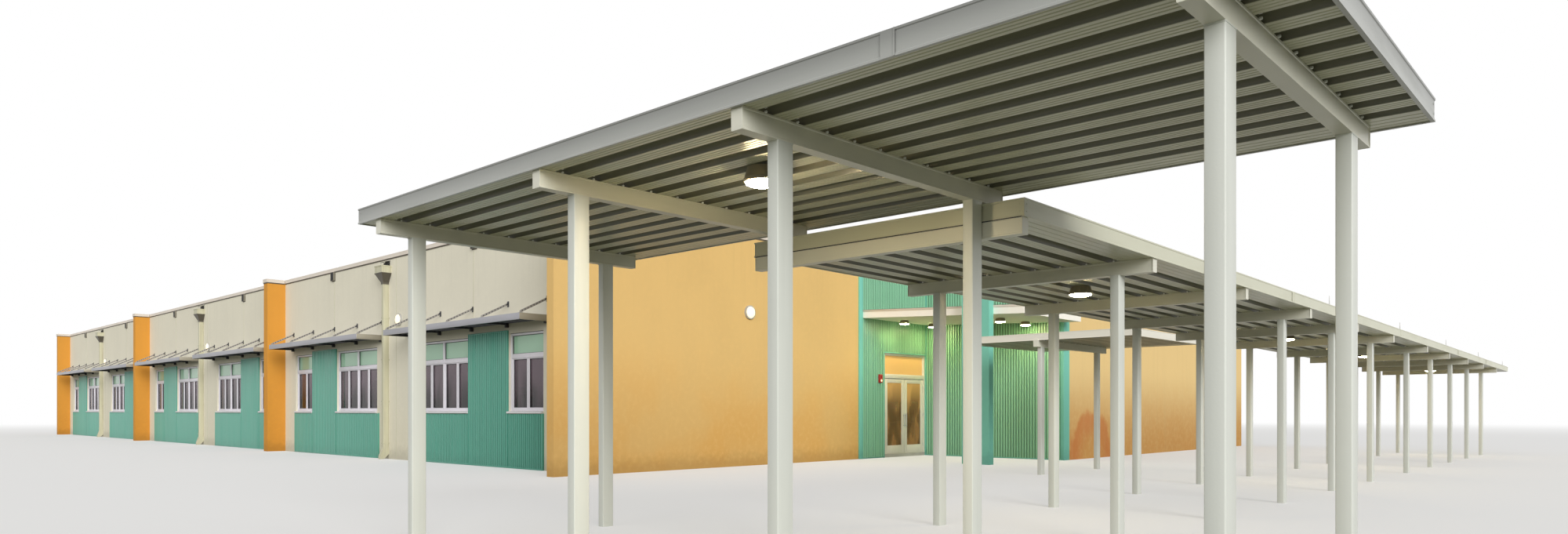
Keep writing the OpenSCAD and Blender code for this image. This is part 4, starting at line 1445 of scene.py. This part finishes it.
for node in ("entrance_lights", "dropoff_lights", "walkway_lights"):
    housings, lenses = bmesh.new(), bmesh.new()
    for low, high in solids(node):
        drum(housings, lenses, low, high)
    lens_finish = dropoff_lens if "drop" in node else warm_lens
    make_piece(node.replace("lights", "drums"), housings, bronze_paint, [node])
    make_piece(node.replace("lights", "lenses"), lenses, lens_finish)

# %% [markdown]
# The metal roofs of the covered ways are built alike. A folded channel runs around
# the edge, with a thin lip at its foot and its head. Between the channels lies a
# deck of roll-formed pans with deep recesses, each pan with three fine grooves. It
# rests on box beams, and those on box posts. Screws with pale heads fix every
# recess to the beams. A closed ring of the channel's section gives true mitres at
# the corners.

# %% Edge channels
EDGE_H = 0.155
EDGE_FLANGE = 0.024
TOP_FLANGE = 0.035
FLANGE_T = 0.006


def edge_ring(shape, x, y, base):
    """Channel around a rectangle, as one ring with mitred corners"""
    lip, skin, web = 0.013, FLANGE_T, 0.005
    section = [
        (0, 0), (0, lip), (web, lip + 0.005), (web, EDGE_H - lip - 0.005), (0, EDGE_H - lip), (0, EDGE_H),
        (TOP_FLANGE, EDGE_H), (TOP_FLANGE, EDGE_H - skin), (0.014, EDGE_H - skin), (0.014, skin),
        (EDGE_FLANGE, skin), (EDGE_FLANGE, 0),
    ]
    rings = [[shape.verts.new(p) for p in (
        (x[0] + u, y[0] + u, base + v), (x[1] - u, y[0] + u, base + v),
        (x[1] - u, y[1] - u, base + v), (x[0] + u, y[1] - u, base + v))] for u, v in section]
    faces = [shape.faces.new((rings[i - 1][k - 1], rings[i - 1][k], rings[i][k], rings[i][k - 1]))
             for i in range(len(section)) for k in range(4)]
    bmesh.ops.recalc_face_normals(shape, faces=faces)


def seam_cover(shape, axis, at, face, outward, base):
    """Cover of a butt joint in an edge channel, with a bead of sealant beside it"""
    for width, out in ((0.10, 0.0015), (0.012, 0.004)):
        depth = sorted((face, face + outward * out))
        along = (at - width, at)
        sides = (along, depth) if axis == "x" else (depth, along)
        block(shape, *sides, (base + 0.001, base + EDGE_H - 0.001))


# %% Deck of pans
DECK_LIFT = FLANGE_T + 0.001
DECK_PITCH = 0.305
PAN_SHARE = 0.51
SLOPE_SHARE = 0.05
GROOVE_W = 0.008
GROOVE_D = 0.007
GROOVES = (0.25, 0.5, 0.75)
CEILING_SHADE_MARK = 0.5


def grooved_pan(width):
    """Line across a flat pan, with its fine grooves"""
    line = [(0, 0)]
    for share in GROOVES:
        line += [(width * share - GROOVE_W, 0), (width * share, GROOVE_D), (width * share + GROOVE_W, 0)]
    return line + [(width, 0)]


def deck_sheet(shape, across, along, base, axis):
    """Roll-formed deck whose ribs run along an axis; a last flat pan closes it"""
    base += DECK_LIFT
    ribs = round((across[1] - across[0]) / DECK_PITCH) - 1
    step = DECK_PITCH
    side = step * SLOPE_SHARE
    line = grooved_pan(step * PAN_SHARE)
    pan = line[-1][0]
    # The marks paint each recess dark, its walls fully and its ceiling by half: painted shade.
    marks = [0.0] * len(line) + [1.0, CEILING_SHADE_MARK, CEILING_SHADE_MARK, 1.0, 0.0]
    line += [(pan + 0.002, 0.005), (pan + side, EDGE_H / 2)]
    line += [(step - side, EDGE_H / 2), (step - 0.002, 0.005), (step, 0)]
    rib = bmesh.new()
    ribbon(rib, moved(line, across[0], base), axis, along, (0, 0, -1), marks)
    offset = (0, step, 0) if axis == "x" else (step, 0, 0)
    stamp(shape, repeat(rib, deck_paint, ribs, offset))
    start = across[0] + ribs * step
    closing = grooved_pan(across[1] - start)
    last = bmesh.new()
    ribbon(last, moved(closing, start, base), axis, along, (0, 0, -1), [0.0] * len(closing))
    stamp(shape, as_mesh(last))
    return [across[0] + step * (number + PAN_SHARE / 2 + 0.5) for number in range(ribs)]


print("recesses of the decks every", DECK_PITCH, "m")

# %% Box beams and posts
POST_R = 0.008


def box_beam(shape, low, high, axis):
    """Beam up to the deck, with flange edges a little proud and a cap at each end"""
    along, across = (0, 1) if axis == "x" else (1, 0)
    width = high[across] - low[across]
    height = high.z - low.z + FLANGE_T
    lip, web = 0.012, 0.004
    side = [(0, 0), (0, lip), (web, lip + 0.004),
            (web, height - lip - 0.004), (0, height - lip), (0, height)]
    outline = side + [(width - u, v) for u, v in reversed(side)]
    prism(shape, moved(outline, low[across], low.z), axis, (low[along] + 0.004, high[along] - 0.004))
    for place in (low[along], high[along] - 0.004):
        cap = rounded(width + 0.004, height + 0.002, 0.006)
        prism(shape, moved(cap, low[across] + width / 2, low.z + height / 2), axis, (place, place + 0.004))


def box_post(shape, low, high):
    """Post with rolled corners and a bearing plate on top"""
    middle = (low + high) / 2
    size = high - low
    prism(shape, moved(rounded(size.x, size.y, POST_R), middle.x, middle.y), "z", (0, high.z - 0.006))
    plate = rounded(size.x + 0.004, size.y + 0.006, POST_R)
    prism(shape, moved(plate, middle.x, middle.y), "z", (high.z - 0.008, high.z))


# %% Rivets and screws
FIRST_SCREW = 0.012
SCREW_GAP = 0.030


def rivet_mesh(finish, place, count, step, rows=1, row_step=(0, 0, 0)):
    """Rows of small round heads; place turns and moves the first one"""
    head = bmesh.new()
    turned(head, [(0, 0), (0.009, 0), (0.007, 0.004), (0, 0.006)], place, 8)
    return repeat(head, finish, count, step, rows, row_step)


def edge_rivets(shape, x, y, base, finish):
    """Two heads on each side of each corner of an edge channel"""
    inset, low_row, row_gap = 0.05, 0.045, 0.065
    out_front = Matrix.Rotation(pi / 2, 4, "X")
    out_rear = Matrix.Rotation(-pi / 2, 4, "X")
    out_right = Matrix.Rotation(pi / 2, 4, "Y")
    out_left = Matrix.Rotation(-pi / 2, 4, "Y")
    lift = (0, 0, row_gap)
    across_x = (x[1] - x[0] - 2 * inset, 0, 0)
    across_y = (0, y[1] - y[0] - 2 * inset, 0)
    for turn, start, step in (
        (out_front, (x[0] + inset, y[0] + 0.006, base + low_row), across_x),
        (out_rear, (x[0] + inset, y[1] - 0.006, base + low_row), across_x),
        (out_left, (x[0] + 0.006, y[0] + inset, base + low_row), across_y),
        (out_right, (x[1] - 0.006, y[0] + inset, base + low_row), across_y),
    ):
        stamp(shape, rivet_mesh(finish, Matrix.Translation(start) @ turn, 2, step, 2, lift))


def beam_screws(shape, beams, spots, axis, flush_first=False):
    """Pale screw heads in each recess of the deck, on both sides of each beam"""
    profile = [(0, -0.004), (0.009, -0.004), (0.009, 0.010), (0.006, 0.013), (0, 0.013)]
    along = spots[1] - spots[0]
    for low, high in beams:
        for edge in (low, high):
            if edge is low and flush_first and low is beams[0][0]:
                continue
            side = -1 if edge is low else 1
            z = high.z + FIRST_SCREW
            if axis == "y":
                start, turn = (edge.x, spots[0], z), Matrix.Rotation(side * pi / 2, 4, "Y")
                step = (0, along, 0)
            else:
                start, turn = (spots[0], edge.y, z), Matrix.Rotation(-side * pi / 2, 4, "X")
                step = (along, 0, 0)
            head = bmesh.new()
            turned(head, profile, Matrix.Translation(start) @ turn, 6)
            stamp(shape, repeat(head, screw_paint, len(spots), step, 2, (0, 0, SCREW_GAP)))


# %% [markdown]
# The drop-off roof and the short link roof are level. Their decks run along the
# front of the building, and one loop makes both.

# %% Level roofs
DECK_GAP = 0.016
DROPOFF_SEAM = 14.14
for way, fascia in (("dropoff", dropoff_fascia_shaded_tone), ("link", link_fascia_lit_tone)):
    edge_low, edge_high = span(way + "_edge")
    x = (edge_low.x, edge_high.x)
    y = (edge_low.y, edge_high.y)
    base = edge_low.z
    beams = solids(way + "_beams")
    channels, decks, posts, bars, fixings = [bmesh.new() for _ in range(5)]
    edge_ring(channels, x, y, base)
    edge_rivets(channels, x, y, base, fascia)
    spots = deck_sheet(decks, shortened(y, DECK_GAP), shortened(x, DECK_GAP), base, "x")
    for low, high in beams:
        box_beam(bars, low, high, "y")
    for low, high in solids(way + "_posts"):
        box_post(posts, low, high)
    beam_screws(fixings, beams, spots, "y")
    if way == "dropoff":
        seam_cover(channels, "x", DROPOFF_SEAM, y[0], -1, base)
    make_piece(way + "_channel", channels, fascia, [way + "_edge"])
    make_piece(way + "_pans", decks, deck_paint, [way + "_deck"], thick=0.004)
    make_piece(way + "_columns", posts, post_paint, [way + "_posts"])
    make_piece(way + "_box_beams", bars, beam_paint, [way + "_beams"])
    make_piece(way + "_screws", fixings, screw_paint)

# %% [markdown]
# The long roof falls a little towards its rear end. It is drawn level, with heights
# measured from the underside of its beams, and one matrix then tips it. The fall is
# worked out from the tops of its first and last posts.

# %% Long roof
walk_posts = sorted(solids("walkway_posts"), key=lambda pair: pair[0].y)
first_low, first_high = walk_posts[0]
last_low, last_high = walk_posts[-1]
fall = (first_high.z - last_high.z) / (last_low.y - first_low.y)
front_y = span("walkway_edge")[0].y
front_z = first_high.z + fall * (first_low.y - front_y)
tip = (Matrix.Translation((0, front_y, front_z)) @ Matrix.Rotation(-atan(fall), 4, "X")
       @ Matrix.Translation((0, -front_y, 0)))
BEAM_H = 0.14
WALKWAY_SEAMS = (2.37, 17.1, 22.2)
JOINT_Y = 9.82
WALKWAY_RODS = 6
FIRST_ROD = -0.95
ROD_GAP = 5.5
print("fall of the long roof:", round(fall, 4))

# %% Parts of the long roof
edge_low, edge_high = span("walkway_edge")
x = (edge_low.x, edge_high.x)
lengths = ((front_y, JOINT_Y), (JOINT_Y + 0.002, edge_high.y))
channels, decks, posts, bars, fixings = [bmesh.new() for _ in range(5)]
level_beams = []
for low, high in solids("walkway_beams"):
    level_beams.append((Vector((low.x, low.y, 0)), Vector((high.x, high.y, BEAM_H))))
for y in lengths:
    edge_ring(channels, x, y, BEAM_H)
    edge_rivets(channels, x, y, BEAM_H, walkway_fascia_lit_tone)
    spots = deck_sheet(decks, shortened(x, DECK_GAP), shortened(y, DECK_GAP), BEAM_H, "y")
for low, high in level_beams:
    box_beam(bars, low, high, "x")
beam_screws(fixings, level_beams, spots, "x", flush_first=True)
for low, high in walk_posts:
    box_post(posts, low, high)
for at in WALKWAY_SEAMS:
    seam_cover(channels, "y", at, x[1], 1, BEAM_H)
sealant, edge_rods = bmesh.new(), bmesh.new()
front_beam = (level_beams[0][0].x, level_beams[0][1].x)
# The dark bead in the joint of the front beam and the channel also stands for the shadow line there: painted
# shade.
block(sealant, front_beam, (front_y - 0.003, front_y + 0.01), (BEAM_H - 0.004, BEAM_H + 0.006))
stamp(edge_rods, repeat(rod_shape(), steel_paint, WALKWAY_RODS, (0, ROD_GAP, 0)),
      Matrix.Translation((x[1] - 0.06, FIRST_ROD, BEAM_H + EDGE_H)))
for shape in (channels, decks, bars, fixings, sealant, edge_rods):
    bmesh.ops.transform(shape, matrix=tip, verts=shape.verts)
make_piece("walkway_channel", channels, walkway_fascia_lit_tone, ["walkway_edge"])
make_piece("walkway_sealant_shadow_line", sealant, dark_paint)
make_piece("walkway_rods", edge_rods, steel_paint)
make_piece("walkway_pans", decks, deck_paint, ["walkway_deck"], thick=0.004)
make_piece("walkway_columns", posts, post_paint, ["walkway_posts"])
make_piece("walkway_box_beams", bars, beam_paint, ["walkway_beams"])
make_piece("walkway_screws", fixings, screw_paint)

# %% [markdown]
# The porch roof keeps its plain stucco body. A folded metal drip runs along its top
# edge on the three free sides, which gives it the thin bright line that roofs of
# this kind have.

# %% Porch flashing
porch_low, porch_high = span("entrance_canopy")
PORCH_FALL = 0.22
FLASH_H = 0.045
FLASH_OUT = 0.014
FLASH_TOP = 0.012
porch_slope = atan(PORCH_FALL / (porch_high.x - porch_low.x))
flashing = bmesh.new()
length = porch_high.x - porch_low.x
front_edge = porch_low.y - FLASH_OUT
block(flashing, (0, length + FLASH_OUT), (front_edge, porch_low.y), (-FLASH_H, FLASH_TOP))
block(flashing, (length, length + FLASH_OUT), (porch_low.y, porch_high.y), (-FLASH_H, FLASH_TOP))
block(flashing, (0, length + FLASH_OUT), (front_edge, porch_high.y), (0.0, FLASH_TOP))
tilt = Matrix.Translation((porch_low.x, 0, porch_high.z)) @ Matrix.Rotation(porch_slope, 4, "Y")
bmesh.ops.transform(flashing, matrix=tilt, verts=flashing.verts)
make_piece("porch_flashing", flashing, coping_paint, edge=0.003)

# %% [markdown]
# The entrance is a glazed aluminium screen: jambs, a head, a deep bar over the
# doors and a threshold. Beads hold the fixed light over the bar.

# %% Entrance screen
frame_low, frame_high = door_low, door_high
DOOR_TOP = 2.38
DOOR_BAR = 0.13
DOOR_GAP = 0.012
BEAD = 0.014


def bead_ring(shape, x, y, z):
    """Four glazing beads round an opening in a wall that faces along x"""
    for side in ((y[0], y[0] + BEAD), (y[1] - BEAD, y[1])):
        block(shape, x, side, z)
    for level in ((z[0], z[0] + BEAD), (z[1] - BEAD, z[1])):
        block(shape, x, (y[0] + BEAD, y[1] - BEAD), level)


screen = bmesh.new()
depth_range = (frame_low.x, frame_high.x)
for y in ((frame_low.y, frame_low.y + FRAME_W), (frame_high.y - FRAME_W, frame_high.y)):
    block(screen, depth_range, y, (frame_low.z, frame_high.z))
inside = (frame_low.y + FRAME_W, frame_high.y - FRAME_W)
block(screen, depth_range, inside, (frame_high.z - FRAME_W, frame_high.z))
block(screen, depth_range, inside, (DOOR_TOP + DOOR_GAP, DOOR_TOP + DOOR_BAR))
threshold = (frame_low.x + 0.02, frame_high.x - 0.02)
block(screen, threshold, inside, (frame_low.z - 0.004, frame_low.z + 0.008))
fixed_z = (DOOR_TOP + DOOR_BAR, frame_high.z - FRAME_W)
for x in ((-0.058, -0.040), (-0.088, -0.070)):
    bead_ring(screen, x, inside, fixed_z)
make_piece("entrance_screen", screen, door_paint, ["entrance_frame"], edge=0.003)

# %% [markdown]
# Each door leaf is a wide-stile frame around one pane, with beads, three hinge
# knuckles and a push bar inside. The upright pull outside is a round bar on two
# stand-offs. The leaves are drawn where they are shut and ride on their own
# bodies, so they swing with their hinges.

# %% Doors
STILE = 0.125
RAIL_LOW = 0.23
RAIL_TOP = 0.11
HINGE_R = 0.009
HINGE_H = 0.1
PUSH_Z = 1.05
PUSH_OUT = 0.045


def door_leaf(side):
    """Leaf, push bar and pull of one door; side is left or right"""
    low, high = span(side + "_door")
    body = side + "_door"
    leaf = bmesh.new()
    x = (low.x, high.x)
    for y in ((low.y, low.y + STILE), (high.y - STILE, high.y)):
        block(leaf, x, y, (low.z, high.z))
    open_y = (low.y + STILE, high.y - STILE)
    open_z = (low.z + RAIL_LOW, high.z - RAIL_TOP)
    block(leaf, x, open_y, (low.z, open_z[0]))
    block(leaf, x, open_y, (open_z[1], high.z))
    pane_low, pane_high = span(side + "_door_glass")
    for face in ((pane_low.x - BEAD, pane_low.x), (pane_high.x, pane_high.x + BEAD)):
        bead_ring(leaf, face, open_y, open_z)
    make_piece(side + "_leaf", leaf, door_paint, [side + "_door"], body, edge=0.003)

    steel = bmesh.new()
    hinge_y = low.y if side == "left" else high.y
    for z in (low.z + 0.2, (low.z + high.z) / 2, high.z - 0.3):
        place = Matrix.Translation((high.x, hinge_y, z))
        turned(steel, [(0, 0), (HINGE_R, 0), (HINGE_R, HINGE_H), (0, HINGE_H)], place, 12)
    push = rounded(0.045, 0.06, 0.012)
    prism(steel, moved(push, low.x - PUSH_OUT, PUSH_Z), "y", shortened((low.y, high.y), 0.09))
    for y in (low.y + 0.10, high.y - 0.16):
        block(steel, (low.x - 0.03, low.x), (y, y + 0.06), (PUSH_Z - 0.035, PUSH_Z + 0.035))
    pull_low, pull_high = span(side + "_door_pull")
    grip_y = (pull_low.y + pull_high.y) / 2
    radius = (pull_high.y - pull_low.y) / 2
    upright = Matrix.Translation((pull_high.x - radius, grip_y, pull_low.z))
    height = pull_high.z - pull_low.z
    grip = [(0, 0), (0.8 * radius, 0), (radius, 0.004),
            (radius, height - 0.004), (0.8 * radius, height), (0, height)]
    turned(steel, grip, upright, 16)
    reach = pull_high.x - radius - pull_low.x
    for z in (pull_low.z + 0.06, pull_high.z - 0.06):
        stub = Matrix.Translation((pull_low.x, grip_y, z)) @ Matrix.Rotation(pi / 2, 4, "Y")
        stand_off = [(0, 0), (0.016, 0), (0.016, 0.004), (0.008, 0.006), (0.008, reach), (0, reach)]
        turned(steel, stand_off, stub, 12)
    make_piece(side + "_door_hardware", steel, steel_paint, [side + "_door_pull"], body)


for side in ("left", "right"):
    door_leaf(side)

# %% [markdown]
# Beside the doors hangs a fire-alarm sounder: a red moulded box with a slotted
# horn above a clear flash dome.

# %% Alarm sounder
SLOTS = 5
SLOT_STEP = 0.017
alarm_low, alarm_high = span("alarm_horn")
sounder = bmesh.new()
loft(sounder, [
    (alarm_low.x, alarm_high.x - 0.012, alarm_low.y, alarm_high.y, alarm_low.z),
    (alarm_low.x, alarm_high.x, alarm_low.y, alarm_high.y, alarm_low.z + 0.02),
    (alarm_low.x, alarm_high.x, alarm_low.y, alarm_high.y, alarm_high.z - 0.02),
    (alarm_low.x, alarm_high.x - 0.012, alarm_low.y, alarm_high.y, alarm_high.z),
])
slot_bar = bmesh.new()
block(slot_bar, (alarm_high.x, alarm_high.x + 0.005), (alarm_low.y + 0.02, alarm_high.y - 0.02),
      (alarm_high.z - 0.045, alarm_high.z - 0.037))
stamp(sounder, repeat(slot_bar, red_paint, SLOTS, (0, 0, -SLOT_STEP)))
make_piece("alarm_sounder", sounder, red_paint, ["alarm_horn"], edge=0.002)
flash = bmesh.new()
flash_place = Matrix.Translation((alarm_high.x, (alarm_low.y + alarm_high.y) / 2, alarm_low.z + 0.065))
turned(flash, [(0, 0), (0.035, 0), (0.033, 0.008), (0.02, 0.016), (0, 0.018)],
       flash_place @ Matrix.Rotation(pi / 2, 4, "Y"), 20)
make_piece("alarm_flash_dome", flash, wall_lens)
